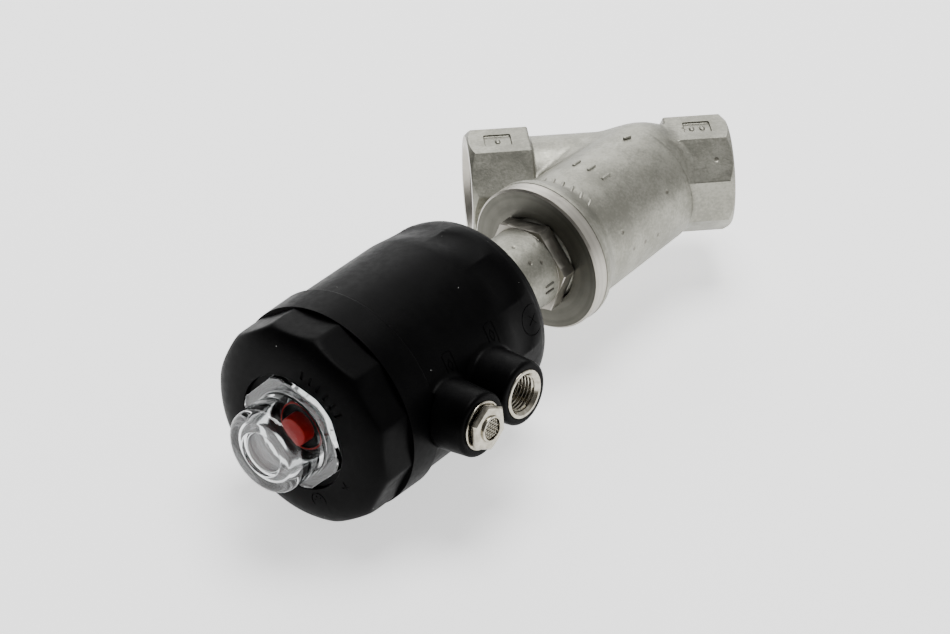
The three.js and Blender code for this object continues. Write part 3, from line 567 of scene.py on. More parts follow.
CAST = cast_steel()
TURNED = turned_steel("turned_steel", LINE)
# Darker copy of the turned steel for the branch's flat face: painted shade, standing in for the dark
# actuator reflected in it.
TURNED_FACE_PAINTED_SHADE = turned_steel("turned_steel_face_painted_shade", LINE, (0.13, 0.127, 0.108), (0.42, 0.5))
TURNED_PIPE = turned_steel("turned_steel_pipe", (1, 0, 0))
BLACK = moulded(
    "black_polyamide", (0.0007, 0.0007, 0.0008), (0.0014, 0.0014, 0.0015), (0.36, 0.45),
    dust=0.05, specular=0.035)
GREY = moulded("grey_polyamide", (0.05, 0.052, 0.056), (0.075, 0.078, 0.083), (0.45, 0.6))
RED = moulded("red_signal", (0.36, 0.005, 0.003), (0.43, 0.008, 0.004), (0.35, 0.45), specular=0.2)
WHITE = moulded("ptfe", (0.74, 0.72, 0.66), (0.83, 0.81, 0.76), (0.42, 0.55))
RUBBER = moulded("rubber", (0.014, 0.014, 0.015), (0.024, 0.024, 0.025), (0.6, 0.75))
NICKEL = bright_metal(
    "nickel", 0.0015, (0.33, 0.305, 0.245), (0.46, 0.435, 0.365), 0.0012, (0.14, 0.26), 0.0003, 0.000006)
CLEAR = clear_plastic()
SPRING = bright_metal(
    "spring_steel", 0.002, (0.30, 0.30, 0.31), (0.46, 0.46, 0.47), 0.001, (0.28, 0.42), 0.0002, 0.000008)

SLOT_PAINT = {
    "cast_steel": CAST, "turned_steel": TURNED, "spring_steel": SPRING, "nickel": NICKEL,
    "black_polyamide": BLACK, "grey_polyamide": GREY, "clear_cap": CLEAR, "red_signal": RED,
    "ptfe": WHITE, "rubber": RUBBER,
}


def coat(piece, *materials):
    piece.data.materials.clear()
    for material in materials:
        piece.data.materials.append(material)


def mark_faces(piece, index, test):
    """Gives material slot `index` to the faces for whose centres, in millimetres, the test is true."""
    faces = piece.data.polygons
    centres, slots = np.zeros(len(faces) * 3), np.zeros(len(faces), dtype=np.int32)
    faces.foreach_get("center", centres)
    faces.foreach_get("material_index", slots)
    slots[test(centres.reshape(-1, 3) * 1000)] = index
    faces.foreach_set("material_index", slots)


def band(low, high, inner=-1.0, outer=math.inf):
    """A test for mark_faces: between two heights on the spindle line, and two distances from it."""
    def test(centres):
        height, away = row_to_line(*centres.T)
        return (height > low) & (height < high) & (away > inner) & (away < outer)
    return test


def finish_piece(piece, body, node):
    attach(piece, body)
    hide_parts(node)
    return piece


# ---- Valve body ----

def body_shell(x, y, z):
    """Cast outside of the valve body, in the row frame."""
    across = np.sqrt(y * y + z * z)
    pipe = round_max(across - PIPE_R, slab(x, PORT_1_X + 3, PORT_2_X - 3), 1.0)
    octagon = flats(y, z, END_FLATS, END_SIDES, 0.0)
    ends = [
        round_max(octagon, slab(x, PORT_1_X - 1, PORT_1_X + END_LENGTH), 0.5),
        round_max(octagon, slab(x, PORT_2_X - END_LENGTH, PORT_2_X + 1), 0.5),
    ]
    height, away = row_to_line(x, y, z)
    flare = np.clip((height - 37.5) / 6.0, 0, 1)
    flare = flare * flare * (3 - 2 * flare)
    radius = BRANCH_ROOT_R + (BRANCH_R - BRANCH_ROOT_R) * np.clip(height / 36, 0, 1)
    radius = radius + flare * (COLLAR_R + 0.12 - BRANCH_R)
    barrel = round_max(away - radius, 5.0 - height, 0.5)
    root = np.sqrt(away * away + (height - 5.0) ** 2) - BRANCH_ROOT_R
    branch = np.maximum(np.minimum(barrel, root), height - BRANCH_TOP_T - 1.5)
    shape = round_min(pipe, branch, 2.0)
    shape = round_min(shape, ends[0], 0.7)
    return round_min(shape, ends[1], 0.8)


def body_hollow(x, y, z):
    """Flow passages: above the seat to port 1, below it to port 2."""
    across = np.sqrt(y * y + z * z)
    height, away = row_to_line(x, y, z)
    chamber = np.maximum(away - CHAMBER_R, slab(height, -5, CHAMBER_TOP_T + 2))
    inlet = np.maximum(across - FLOW_R, slab(x, PORT_1_X + 10, -2))
    lip = np.maximum(slab(away, FLOW_R, FLOW_R + SEAT_LIP), height - SEAT_T)
    above = np.maximum(round_min(chamber, inlet, 1.0), np.maximum(SEAT_FLOOR_T - height, -lip))
    belly = np.sqrt((x - BELLY_X) ** 2 + (y - BELLY_Y) ** 2 + z * z) - BELLY_R
    outlet = np.maximum(across - FLOW_R, slab(x, -2, PORT_2_X - 8))
    below = np.maximum(round_min(belly, outlet, 1.0), height - BELLY_TOP_T)
    bore = np.maximum(away - FLOW_R, slab(height, -2, SEAT_T + 1))
    return np.minimum(np.minimum(above, below), bore)


def body_field(x, y, z):
    return np.maximum(body_shell(x, y, z), -body_hollow(x, y, z))


def thread(core, depth, pitch, start, end):
    """Radius of a threaded cutter: grows by `depth` at the crests, and fades in over its ends."""
    def shape(radius, height, angle):
        phase = np.mod(height / pitch - angle / (2 * math.pi), 1.0)
        crest = np.clip(1.25 - np.abs(phase - 0.5) * 3.4, 0, 1)
        fade = np.clip((height - start) / pitch, 0, 1) * np.clip((end - height) / pitch, 0, 1)
        return np.where(np.abs(radius - core) < 1e-6, core + depth * crest * fade, radius)
    return shape


def end_cutter(name, points, faces, mouth, inward):
    points = along_x(points) * (inward, inward, 1)
    return make(name, points + (mouth, 0, 0), outward(points, faces))


def socket_cutter(mouth, depth, inward):
    """Chamfered and threaded hole for a pipe, along X."""
    outline = [
        (0, -2), (SOCKET_MOUTH_R + 2, -2), (SOCKET_MOUTH_R, 0),
        (THREAD_CORE_R, SOCKET_MOUTH_R - THREAD_CORE_R), (THREAD_CORE_R, depth), (FLOW_R, depth + 1.4),
        (FLOW_R - 1, depth + 1.4), (0, depth + 1.4),
    ]
    shape = thread(THREAD_CORE_R, THREAD_DEPTH, THREAD_PITCH, 1.4, depth)
    points, faces = lathe(refine(outline, THREAD_PITCH / steps(12)), steps(160), shape)
    return end_cutter("socket_cutter", points, faces, mouth, inward)


def end_facer(mouth, inward):
    """Cuts the outer end flat and chamfers its corners."""
    face = END_FLATS / 2 - 0.35
    edge = END_FLATS / 2 / math.cos(math.pi / END_SIDES) + 0.5
    outline = [(0, -3), (edge, -3), (edge, edge - face), (face, 0), (0, 0)]
    points, faces = lathe(outline, steps(256))
    return end_cutter("end_facer", points, faces, mouth, inward)


def branch_facer():
    """Turns the collar, its rim chamfer and the flat face of the branch."""
    rim = 0.5
    outline = [
        (COLLAR_R, COLLAR_T), (30, COLLAR_T), (30, 60), (0, 60), (0, BRANCH_TOP_T),
        (COLLAR_R - rim, BRANCH_TOP_T), (COLLAR_R, BRANCH_TOP_T - rim),
    ]
    return make("branch_facer", *lathe(outline, steps(256), closed=True), SPINDLE)


def nipple_bore():
    radius, top = NIPPLE_SCREW_R + GAP, BRANCH_TOP_T + 3
    outline = [
        (0, CHAMBER_TOP_T - 1), (CHAMBER_R, CHAMBER_TOP_T - 1), (CHAMBER_R, CHAMBER_TOP_T),
        (radius, CHAMBER_TOP_T), (radius, top), (0, top),
    ]
    return make("nipple_bore", *lathe(outline, steps(128)), SPINDLE)


def port_pad(middle_x):
    """Shallow rectangular recess in the top flat of an end."""
    half_x, half_y, depth, top = 3.4, 2.6, 0.5, END_FLATS / 2

    def field(x, y, z):
        box = round_max(np.abs(x - middle_x) - half_x, np.abs(y) - half_y, 0.6)
        return round_max(box, np.abs(z - top - 1) - 1 - depth, 0.35)
    low = (middle_x - half_x - 1, -half_y - 1, top - depth - 1)
    high = (middle_x + half_x + 1, half_y + 1, top + 3)
    return make("port_pad", *level_set(field, low, high, steps(0.14)))


def bar(start, end, radius, turn=ROW):
    """Raised round-ended bar, such as a cast mark."""
    start, end = np.array(start, float), np.array(end, float)

    def field(x, y, z):
        run = end - start
        length = float(run @ run)
        share = ((x - start[0]) * run[0] + (y - start[1]) * run[1] + (z - start[2]) * run[2]) / length
        share = np.clip(share, 0, 1)
        gaps = [axis - (start[i] + run[i] * share) for i, axis in enumerate((x, y, z))]
        return np.sqrt(sum(gap * gap for gap in gaps)) - radius
    low = np.minimum(start, end) - radius - 0.4
    high = np.maximum(start, end) + radius + 0.4
    return make("bar", *level_set(field, low, high, radius / 3.2), turn)


def cast_marks():
    """Raised port marks, one stud and two studs, and plain bars on the branch and the neck."""
    top = END_FLATS / 2 - 0.95
    left, right = PORT_1_X + 7.6, PORT_2_X - 7.8
    studs = [left, right - 1.3, right + 1.3]
    marks = [((x, -0.3, top), (x, 0.3, top), 0.85, ROW) for x in studs]

    def on_branch(height, degrees, radius=BRANCH_R - 0.2):
        angle = math.radians(degrees)
        return (radius * math.cos(angle), radius * math.sin(angle), height)
    for degrees in range(61, 112, 10):
        marks.append((on_branch(36.9, degrees), on_branch(38.7, degrees - 3), 0.5, SPINDLE))
    for degrees in (71, 87, 103):
        marks.append((on_branch(26.2, degrees), on_branch(28.4, degrees), 0.46, SPINDLE))
    marks.append((on_branch(9.8, 92), on_branch(11.2, 94), 0.4, SPINDLE))
    for degrees in (-4, 6):
        marks.append((on_branch(54.6, degrees, NECK_R), on_branch(57, degrees, NECK_R), 0.35, SPINDLE))
    return [bar(*mark) for mark in marks]


def valve_body():
    low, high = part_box("valve_body")
    margin = 3
    points, faces = level_set(
        body_field, np.array(low) * 1000 - margin, np.array(high) * 1000 + margin, steps(0.32))
    piece = make("valve_body_cast", points, faces)
    carve(
        piece, port_pad(PORT_1_X + 7.6), port_pad(PORT_2_X - 7.8), end_facer(PORT_1_X, 1),
        end_facer(PORT_2_X, -1), branch_facer(), nipple_bore(),
        socket_cutter(PORT_1_X, SOCKET_DEPTHS[PORT_1_X], 1),
        socket_cutter(PORT_2_X, SOCKET_DEPTHS[PORT_2_X], -1),
    )
    carve(piece, *cast_marks(), operation="UNION")
    coat(piece, CAST, TURNED, TURNED_PIPE, TURNED_FACE_PAINTED_SHADE)

    def faced(centres):
        across = np.hypot(centres[:, 1], centres[:, 2])
        ends = (centres[:, 0] < PORT_1_X + 0.02) | (centres[:, 0] > PORT_2_X - 0.02)
        depth = np.minimum(centres[:, 0] - PORT_1_X, PORT_2_X - centres[:, 0])
        return (ends | ((across < THREAD_CORE_R + 2) & (depth < 13.9))) & (across < 20)

    mark_faces(piece, 2, faced)
    mark_faces(piece, 1, band(COLLAR_T + 0.02, math.inf, outer=COLLAR_R + 0.05))
    # The flat face of the branch takes the darker copy of the turned steel: painted shade.
    mark_faces(piece, 3, band(BRANCH_TOP_T - 0.05, math.inf, outer=COLLAR_R - 0.4))
    return finish_piece(piece, "valve", "valve_body")


# ---- Nipple ----

def bonnet_nipple():
    """Screwed nipple: hexagon on the branch's face, and a cast neck up into the housing."""
    corner = HEX_FLATS / 2 / math.cos(math.pi / 6)
    inner = NECK_R + 0.05
    groove = JOURNAL_R - CIRCLIP_DEPTH
    lead, undercut = 0.8, 1.0
    corners = [
        (SPINDLE_HOLE_R, NIPPLE_LOW_T, 0), (NIPPLE_SCREW_R - lead, NIPPLE_LOW_T, 0),
        (NIPPLE_SCREW_R, NIPPLE_LOW_T + lead, 0), (NIPPLE_SCREW_R, SCREW_TOP_T, 0),
        (NIPPLE_SCREW_R - undercut, SCREW_TOP_T + undercut, 0), (NIPPLE_SCREW_R - undercut, HEX_LOW, 0),
        (corner - 0.2, HEX_LOW, 0), (corner, HEX_LOW + 0.2, 0), (corner, HEX_HIGH - 0.25, 0),
        (corner - 0.25, HEX_HIGH, 0), (inner, HEX_HIGH, 0), (NECK_R, HEX_HIGH + 0.1, 0),
        (NECK_R, NECK_TOP_T, 0.5), (JOURNAL_R, JOURNAL_START_T, 0), (JOURNAL_R, CIRCLIP_LOW_T, 0),
        (groove, CIRCLIP_LOW_T, 0), (groove, CIRCLIP_HIGH_T, 0), (JOURNAL_R, CIRCLIP_HIGH_T, 0),
        (JOURNAL_R, JOURNAL_TOP_T, 0), (GLAND_R, JOURNAL_TOP_T, 0), (GLAND_R, GLAND_LOW_T, 0),
        (SPINDLE_HOLE_R, GLAND_LOW_T, 0),
    ]
    hexagon = prismatic(inner, corner, HEX_FLATS, 6, HEX_TURN, HEX_LOW, HEX_HIGH)
    outline = rounded(corners, 5, closed=True)
    points, faces = lathe(outline, steps(384), hexagon, closed=True)
    piece = make("bonnet_nipple_fine", points, faces, SPINDLE, sharp=25)
    coat(piece, CAST, TURNED)
    mark_faces(piece, 1, band(HEX_LOW - 0.3, HEX_HIGH + 0.05))
    return finish_piece(piece, "valve", "bonnet_nipple")


# ---- Housing ----

def boss_field(x, y, z, height):
    """One port boss, a blunt cone along +X at the given height."""
    away = np.sqrt(y * y + (z - height) ** 2)
    slope = (BOSS_ROOT_R - BOSS_TIP_R) / (BOSS_REACH - BOSS_START)
    side = (away - BOSS_TIP_R - (BOSS_REACH - x) * slope) / math.hypot(1, slope)
    return round_max(round_max(side, x - BOSS_REACH, 0.9), 18 - x, 0.1)


def base_shell(x, y, z):
    """Moulded outside of the actuator base, in the housing's frame."""
    away = np.sqrt(x * x + y * y)
    barrel = np.maximum(away - BARREL_R, z - SEAM_T + GAP)
    twelve = flats(x, y, BASE_FLATS, FACETS, math.pi / FACETS)
    rise = np.clip((z - BASE_FLATS_TOP_T) / (BARREL_START_T - BASE_FLATS_TOP_T), -1, 1.4)
    flare = (away - BASE_FLATS / 2 - (BARREL_R - BASE_FLATS / 2) * rise) * 0.95
    shape = round_max(barrel, round_min(twelve, flare, 0.9), 0.5)
    corners = 0.9 * np.clip((z - HOUSING_T - BASE_EDGE_R) / 3.5, -0.3, 1)
    end_r = BASE_FLATS / 2 + corners + np.clip(z - 80, 0, 9)
    shape = round_max(shape, round_max(away - end_r, HOUSING_T - z, BASE_EDGE_R), 0.5)
    bosses = round_min(boss_field(x, y, z, PILOT_T), boss_field(x, y, z, VENT_T), 0.5)
    bosses = np.maximum(bosses, -np.maximum(away - SKIRT_R - GAP, SEAM_T - GAP - z))
    spigot = np.maximum(away - SPIGOT_R, slab(z, 100, SPIGOT_TOP_T))
    return np.minimum(round_min(shape, bosses, 1.1), spigot)


def base_field(x, y, z):
    away = np.sqrt(x * x + y * y)
    bore = np.maximum(away - CYLINDER_R, CYLINDER_FLOOR_T - z)
    return np.maximum(base_shell(x, y, z), -bore)


def port_hole(height):
    back, front = INSERT_REACH - INSERT_LENGTH - GAP, BOSS_REACH + 2
    points, faces = tube(0, INSERT_R + 0.12, back, front, steps(96))
    return make("port_hole", along_x(points) + (0, 0, height), faces, HOUSING)


def channel(start, end, radius):
    path = np.linspace(start, end, 3)
    return make("channel", *wire(path, radius, 24), HOUSING)


def swivel_bore():
    low, high = HOUSING_T - 3.2, CYLINDER_FLOOR_T + 1
    outline = [
        (0, low), (SWIVEL_BORE_R, low), (SWIVEL_BORE_R, O_RING_LOW_T), (O_RING_R, O_RING_LOW_T),
        (O_RING_R, O_RING_HIGH_T), (SWIVEL_BORE_R, O_RING_HIGH_T), (SWIVEL_BORE_R, WASHER_LOW_T),
        (WASHER_R, WASHER_LOW_T), (WASHER_R, high), (0, high),
    ]
    return make("swivel_bore", *lathe(outline, steps(128)), HOUSING)


def frame_groove(height):
    """Engraved frame with rounded corners round a plain diamond, on the barrel beside the ports."""
    middle, half_arc, half_height, corner = math.radians(23), 3.1, 1.45, 0.7
    outline = []
    for sign_x, sign_y, first in ((1, 1, 0), (-1, 1, 90), (-1, -1, 180), (1, -1, 270)):
        for k in range(6):
            angle = math.radians(first + k * 18)
            outline.append((sign_x * (half_arc - corner) + corner * math.cos(angle),
                            sign_y * (half_height - corner) + corner * math.sin(angle)))
    diamond = [(-1.5, 0.0), (0.0, -0.7), (1.5, 0.0), (0.0, 0.7)]

    def on_barrel(shape):
        path = refine([*shape, shape[0]], 0.35)[:-1]
        angles = [middle + across / BARREL_R for across, _ in path]
        return [
            (BARREL_R * math.cos(a), BARREL_R * math.sin(a), height + rise)
            for a, (_, rise) in zip(angles, path)
        ]
    grooves = [wire(on_barrel(shape), 0.14, 8, closed=True) for shape in (outline, diamond)]
    return [make("frame_groove", *groove, HOUSING) for groove in grooves]


def inlay_cutters():
    """Round insert mark on the flat beside the ports, with a cross in it."""
    middle, height, radius = math.radians(15), 77.6, 3.5
    out = Vector((math.cos(middle), math.sin(middle), 0))
    across = Vector((-math.sin(middle), math.cos(middle), 0))
    turn = HOUSING @ Matrix((across, Vector((0, 0, 1)), out)).transposed()
    centre = np.array((0, height, BASE_FLATS / 2))
    points, faces = tube(radius, radius + 0.22, -0.35, 1, steps(96))
    shapes = [(points + centre, faces), *crossed(centre, 1.7, 0.17, 35)]
    return [make("inlay_cutter", *shape, turn) for shape in shapes]


def actuator_base():
    low, high = (-26, -26, HOUSING_T - 2), (36, 26, SPIGOT_TOP_T + 1.5)
    points, faces = level_set(base_field, low, high, steps(0.34))
    piece = make("actuator_base_moulded", points, faces, HOUSING)
    carve(
        piece, swivel_bore(), port_hole(PILOT_T), port_hole(VENT_T),
        channel((CHANNEL_X, 0, PILOT_T - 1), (15, 0, 84.6), PILOT_CHANNEL_R),
        channel((CHANNEL_X, 0, VENT_T), (16, 0, VENT_T), VENT_CHANNEL_R),
        *frame_groove(92.2), *frame_groove(107.0), *inlay_cutters(), sharp=38,
    )
    coat(piece, BLACK)
    return finish_piece(piece, "housing", "actuator_base")


def cover_outline():
    """Outside of the cover from its skirt to the recess for the cap, and back down inside."""
    rise = COVER_TOP_T - COVER_FLATS_TOP_T
    dome = [
        (DOME_R - DOME_INWARD * (1 - math.cos(a)), COVER_FLATS_TOP_T + rise * math.sin(a))
        for a in np.linspace(0, math.pi / 2, steps(40))
    ]
    skirt = rounded([
        (SPIGOT_R + 0.4, SEAM_T, 0), (SKIRT_R, SEAM_T, 0.25), (SKIRT_TOP_R, SKIRT_TOP_T, 0.2),
        (DOME_R, SKIRT_TOP_T + 0.4, 0), (DOME_R, COVER_FLATS_TOP_T, 0),
    ], 4)
    recess = rounded([
        (CAP_RECESS_R + 0.6, COVER_TOP_T, 0), (CAP_RECESS_R, COVER_TOP_T, 0.25),
        (CAP_RECESS_R, CAP_SEAT_T, 0.2), (CAP_GROOVE_R, CAP_SEAT_T, 0), (CAP_GROOVE_R, CAP_GROOVE_T, 0),
        (CAP_HOLE_R, CAP_GROOVE_T, 0), (CAP_HOLE_R, COVER_CEILING_T, 0),
        (COVER_BORE_CONE_R, COVER_CEILING_T, 0), (COVER_BORE_R, COVER_CONE_T, 0),
        (COVER_BORE_R, COVER_BORE_T, 0),
        (SPIGOT_R + 0.4, SPIGOT_TOP_T + 0.5, 0), (SPIGOT_R + 0.4, SEAM_T, 0),
    ], 4)
    return refine([*skirt[:-1], *dome, *recess[:-1]], steps(0.35))


def facet_limit(across, sides, turn, soft):
    """Radius of a many-sided prism at an angle, its corners eased over `soft` millimetres."""
    corner = across / 2 / math.cos(math.pi / sides)

    def limit(angle):
        plane = across / 2 / np.cos(from_flat(angle, sides, turn))
        return -np.log(np.exp(-plane / soft) + np.exp(-(corner - soft * 0.6) / soft)) * soft
    return limit


def actuator_cover():
    limit = facet_limit(COVER_FLATS, FACETS, 0.0, 0.07)

    def faceted(radius, height, angle):
        plane = limit(angle) + 0 * radius
        soft = 0.05 + 0.22 * np.clip((height - COVER_FLATS_TOP_T + 2) / 3, 0, 1)
        eased = -np.log(np.exp(-(radius - 25) / soft) + np.exp(-(plane - 25) / soft)) * soft + 25
        return np.where((height > SKIRT_TOP_T + 0.02) & (radius > 21), np.minimum(radius, eased), radius)

    piece = make("actuator_cover_moulded", *lathe(cover_outline(), steps(480), faceted, closed=True),
                 HOUSING, sharp=24)
    carve(piece, *cover_marks(), sharp=24)
    coat(piece, BLACK)
    return finish_piece(piece, "housing", "actuator_cover")


def cover_marks():
    """Engraved on the dome: a row of short ticks, two dated-insert rings and a small cross."""
    turn, radius = math.degrees(HOUSING_TURN), 17.3
    low, high = np.array((0, 0, COVER_TOP_T - 0.1)), np.array((0, 0, COVER_TOP_T - 0.05))
    marks = []
    for degrees in range(38, 86, 8):
        out = ray(degrees - turn)
        inner, outer = out * (radius - 1.1) + low, out * (radius + 1.1) + low - (0, 0, 0.12)
        marks.append(wire([inner, outer], 0.34, 10))
    for degrees, size in ((-66, 1.9), (-163, 1.5)):
        centre = ray(degrees - turn, radius)
        points, faces = tube(size, size + 0.3, COVER_TOP_T - 0.3, COVER_TOP_T + 1.7, 48)
        marks.append((points + centre, faces))
        for k in range(6):
            run = ray(60 * k, size)
            marks.append(wire([centre + high + run * 0.45, centre + high + run * 0.75], 0.16, 8))
    marks += crossed(ray(-28 - turn, radius) + high, 1.3, 0.2, 30)
    return [make("cover_mark", *mark, HOUSING) for mark in marks]


def port_insert(name, height):
    """Nickel-plated insert with a chamfered, threaded bore."""
    back, face = INSERT_REACH - INSERT_LENGTH, INSERT_REACH
    outline = rounded([
        (INSERT_BORE_R, back, 0), (INSERT_R, back, 0), (INSERT_R, face, 0.3),
        (INSERT_BORE_R + 0.75, face, 0.08), (INSERT_BORE_R, face - 0.75, 0),
    ], 5, closed=True)
    outline = refine([*outline, outline[0]], PILOT_PITCH / steps(9))[:-1]
    cut = thread(INSERT_BORE_R, 0.45, PILOT_PITCH, back + 0.6, face - 0.7)
    points, faces = lathe(outline, steps(144), cut, closed=True)
    piece = make(name + "_fine", along_x(points) + (0, 0, height), faces, HOUSING, sharp=28)
    coat(piece, NICKEL)
    return finish_piece(piece, "housing", name)


def vent_plug():
    """Hexagon-headed vent plug with a round nose."""
    seat, hex_top, nose = INSERT_REACH + 0.5, INSERT_REACH + 2.0, INSERT_REACH + 2.6
    across, inner = 10.0, 3.3
    corner = across / 2 / math.cos(math.pi / 6)
    outline = rounded([
        (1.8, seat - 6.5, 0), (3.9, seat - 6.5, 0.3), (3.9, seat - 0.02, 0), (corner - 0.3, seat, 0),
        (corner, seat + 0.25, 0.1), (corner, hex_top - 0.45, 0.2), (corner - 0.6, hex_top, 0.1),
        (inner, hex_top, 0), (3.15, hex_top + 0.02, 0), (3.1, nose, 0.22), (2.6, nose, 0.1),
        (2.6, nose - 1.2, 0), (1.8, nose - 1.2, 0),
    ], 4, closed=True)
    hexagon = prismatic(inner, corner, across, 6, 0.0, seat, hex_top)
    points, faces = lathe(outline, steps(288), hexagon, closed=True)
    piece = make("vent_plug_fine", along_x(points) + (0, 0, VENT_T), faces, HOUSING, sharp=24)
    coat(piece, NICKEL)
    return finish_piece(piece, "housing", "vent_plug")


def vent_screen():
    """Woven wire disc in the nose of the vent plug, on a plain backing."""
    low = INSERT_REACH + 1.55
    radius, pitch, thick = 2.42, 0.6, 0.14
    parts = []
    count = int(radius / pitch)
    for i in range(-count, count + 1):
        offset = i * pitch
        half = math.sqrt(max(radius ** 2 - offset ** 2, 0)) - 0.08
        if half < 0.3:
            continue
        run = np.linspace(-half, half, max(8, int(half / pitch * 12)))
        sway = np.cos(run / pitch * math.pi) * thick * (1 if i % 2 else -1)
        height = np.full_like(run, low + 0.55)
        parts.append(wire(np.stack([height + sway, run, np.full_like(run, offset)], 1), thick, 6))
        parts.append(wire(np.stack([height - sway, np.full_like(run, offset), run], 1), thick, 6))
    back, flat = tube(0, radius, low, low + 0.15, 48)
    points, faces = joined([*parts, (along_x(back), flat)])
    piece = make("vent_screen_woven", points + (0, 0, VENT_T), faces, HOUSING)
    coat(piece, NICKEL, BLACK)

    def backing(centres):
        return centres @ np.array(HOUSING)[:, 0] < low + 0.2
    mark_faces(piece, 1, backing)
    return finish_piece(piece, "housing", "vent_screen")


def indicator_cap():
    """Clear cap: a hexagonal flange with rounded corners, and a hollow round body with a dished front."""
    base = CAP_SEAT_T + GAP
    flange_top = base + CAP_FLANGE
    dish = CAP_TOP_T - CAP_DISH_DEPTH
    inner = CAP_BODY_R + 0.5
    limit = facet_limit(CAP_FLATS, 6, math.radians(17) - HOUSING_TURN, 0.25)
    outline = refine(rounded([
        (0, CAP_INNER_TOP_T, 0), (CAP_INNER_R, CAP_INNER_TOP_T, 1.0), (CAP_INNER_R, CAP_LOW_T, 0),
        (CAP_HOLE_R - 0.4, CAP_LOW_T, 0.3), (CAP_HOLE_R - 0.4, base, 0.2),
        (CAP_CORNER_R, base, 0.3), (CAP_CORNER_R, flange_top, 0.4), (CAP_BODY_R, flange_top, 0.6),
        (CAP_BODY_R, CAP_TOP_T, 2.0), (CAP_DISH_R, CAP_TOP_T, 0.4), (CAP_DISH_R - 0.7, dish, 0.4),
        (0, dish, 0),
    ], steps(10)), steps(0.4))

    def rounded_hexagon(radius, along, angle):
        plane = np.minimum(limit(angle), CAP_CORNER_R) + 0 * radius
        share = np.clip((radius - inner) / (CAP_CORNER_R - inner), 0, 1)
        on_flange = (along > base - 0.01) & (along < flange_top + 0.01) & (radius > inner)
        return np.where(on_flange, inner + share * (plane - inner), radius)
    points, faces = lathe(outline, steps(288), rounded_hexagon)
    piece = make("indicator_cap_clear", points, faces, HOUSING, sharp=30)
    coat(piece, CLEAR)
    return finish_piece(piece, "housing", "indicator_cap")


def position_indicator():
    """Red signal on the spindle's end: a round foot and a stub that shows through the cap's side."""
    rim, floor = INDICATOR_FOOT_R - 0.4, INDICATOR_FOOT_TOP_T - 0.5
    outline = rounded([
        (0, SPINDLE_TIP_T, 0), (SPINDLE_TIP_R, SPINDLE_TIP_T, 0), (SPINDLE_TIP_R, INDICATOR_LOW_T, 0),
        (INDICATOR_ROOT_R, INDICATOR_LOW_T, 0.3), (INDICATOR_ROOT_R, INDICATOR_FOOT_T - 0.3, 0.2),
        (INDICATOR_FOOT_R, INDICATOR_FOOT_T, 0.15), (INDICATOR_FOOT_R, INDICATOR_FOOT_TOP_T, 0.15),
        (rim, INDICATOR_FOOT_TOP_T, 0.1), (rim - 0.1, floor, 0), (INDICATOR_STUB_R + 0.1, floor, 0),
        (INDICATOR_STUB_R, INDICATOR_TOP_T, 0.3), (0, INDICATOR_TOP_T, 0),
    ], 5)
    piece = make("position_indicator_fine", *lathe(outline, steps(128)), SPINDLE, sharp=40)
    # The recessed well inside the foot is painted black: a dark sheet standing in for the shade down in the
    # recess.
    coat(piece, RED, BLACK)
    painted_shade_well = band(floor - 0.1, INDICATOR_FOOT_TOP_T - 0.03, INDICATOR_STUB_R + 0.05, rim)
    mark_faces(piece, 1, painted_shade_well)
    return finish_piece(piece, "stem", "position_indicator")


# ---- Pieces inside: the CAD solids with their materials, and a finer closing spring ----

def closing_spring():
    radius, thick, turns = SPRING_R, SPRING_WIRE, SPRING_TURNS
    low, high = SPRING_LOW_T, SPRING_HIGH_T
    closed = thick * 1.12
    climb = (high - low - thick - 2 * closed) / (turns - 2)
    turn = np.linspace(0, turns, turns * steps(60))
    height = (low + thick / 2 + closed * np.minimum(turn, 1) + climb * np.clip(turn - 1, 0, turns - 2)
              + closed * np.maximum(turn - turns + 1, 0))
    angle = turn * 2 * math.pi
    path = np.stack([radius * np.cos(angle), radius * np.sin(angle), height], 1)
    piece = make("closing_spring_wire", *wire(path, thick / 2, 16), HOUSING)
    coat(piece, SPRING)
    finish_piece(piece, "housing", "closing_spring")
    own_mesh(piece)
    return piece


def coat_cad_nodes():
    """Every CAD solid still shown takes the procedural material of its slot."""
    slots = {row["node"]: row["material_slot"] for row in frame["record"]["subparts"]}
    for name, piece in frame["nodes"].items():
        coat(piece, SLOT_PAINT[slots[name]])
        soften(piece, 30)


# ---- Stage ----

def floor():
    low = CAD_BOX[0][2] - 0.0004
    size = 6.0
    corners = [(-size, -size, low), (size, -size, low), (size, size, low), (-size, size, low)]
    mesh = bpy.data.meshes.new("floor")
    mesh.from_pydata(corners, [], [(0, 1, 2, 3)])
    piece = add_object("floor", mesh)
    paint = Paint("pale_floor")
    paint.colour(paint.mix(paint.noise(0.4), (0.90, 0.90, 0.90), (0.93, 0.93, 0.93)))
    paint.shader.inputs["Roughness"].default_value = 0.9
    paint.shader.inputs["Emission Color"].default_value = (1.0, 1.0, 1.0, 1.0)
    paint.shader.inputs["Emission Strength"].default_value = 1.1
    coat(piece, paint.material)


def area_light(name, azimuth, elevation, distance, size, power, target):
    lamp = bpy.data.lights.new(name, "AREA")
    lamp.shape = "DISK"
    lamp.size = size
    lamp.energy = power
    holder = add_object(name, lamp)
    az, el = math.radians(azimuth), math.radians(elevation)
    away = Vector((math.sin(az) * math.cos(el), -math.cos(az) * math.cos(el), math.sin(el)))
    holder.location = target + away * distance
    holder.rotation_euler = (-away).to_track_quat("-Z", "Y").to_euler()


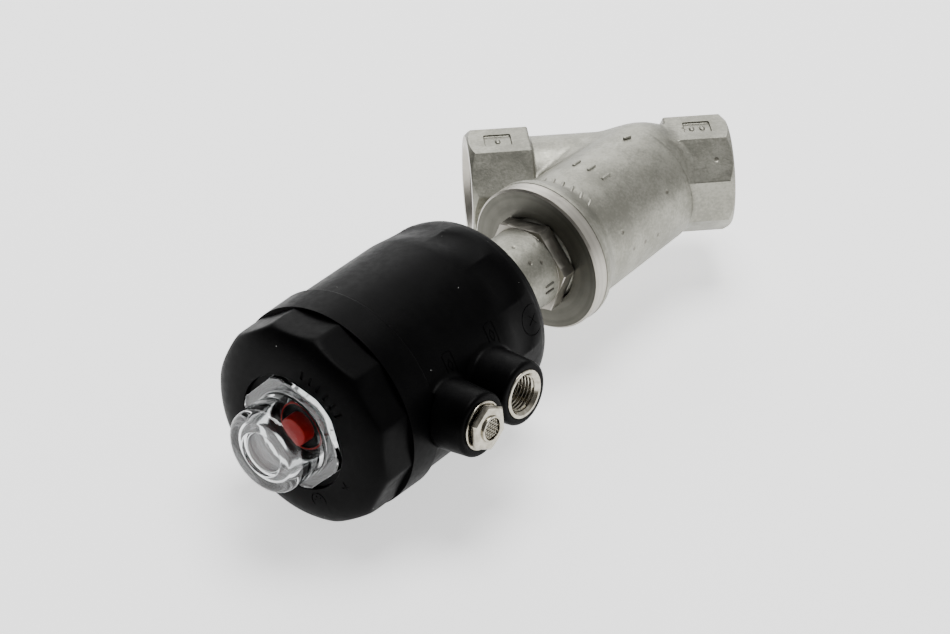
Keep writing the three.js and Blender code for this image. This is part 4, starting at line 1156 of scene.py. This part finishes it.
def lights():
    """A soft light overhead, and a room that is bright behind the valve and on its right."""
    target = Vector((-0.04, -0.04, 0))
    area_light("top", 150, 78, 1.1, 0.7, 14.0, target)
    area_light("back", 178, 26, 1.3, 0.9, 6.0, target)
    world = bpy.data.worlds.new("studio")
    world.use_nodes = True
    tree = world.node_tree
    where = tree.nodes.new("ShaderNodeTexCoord").outputs["Generated"]
    lobes = []
    for direction, start, low, high in (
        ((0.0, 0.97, 0.24), 0.5, ROOM_GLOW, 0.75), ((0.95, 0.0, 0.31), 0.55, 0.0, 0.6),
    ):
        lean = add_node(tree, "ShaderNodeVectorMath", {0: where, 1: direction}, operation="DOT_PRODUCT")
        span = {"Value": lean.outputs["Value"], "From Min": start, "From Max": 0.98,
                "To Min": low, "To Max": high}
        lobe = add_node(tree, "ShaderNodeMapRange", span, interpolation_type="SMOOTHSTEP")
        lobes.append(lobe.outputs["Result"])
    total = add_node(tree, "ShaderNodeMath", {0: lobes[0], 1: lobes[1]}, operation="ADD")
    background = tree.nodes["Background"]
    background.inputs["Color"].default_value = (1.0, 1.0, 1.0, 1.0)
    tree.links.new(total.outputs[0], background.inputs["Strength"])
    bpy.context.scene.world = world


def camera():
    """Looks down at the valve from the front: azimuth 0 looks along +Y, with +X to the right."""
    azimuth, elevation, roll = math.radians(6.007), math.radians(34.386), math.radians(0.638)
    distance = 0.778
    target = Vector((-0.04689, -0.01616, -0.02760))
    level = math.cos(elevation)
    forward = Vector((math.sin(azimuth) * level, math.cos(azimuth) * level, -math.sin(elevation)))
    lens = bpy.data.cameras.new("camera")
    lens.lens = 118.44
    lens.sensor_width = 36.0
    lens.clip_end = 50
    holder = add_object("camera", lens)
    holder.location = target - forward * distance
    upright = forward.to_track_quat("-Z", "Y").to_matrix()
    holder.rotation_euler = (Matrix.Rotation(roll, 3, forward) @ upright).to_euler()
    bpy.context.scene.camera = holder


camera()
lights()
floor()
coat_cad_nodes()
valve_body()
bonnet_nipple()
actuator_base()
actuator_cover()
port_insert("pilot_port_insert", PILOT_T)
port_insert("vent_port_insert", VENT_T)
vent_plug()
vent_screen()
indicator_cap()
position_indicator()
closing_spring()
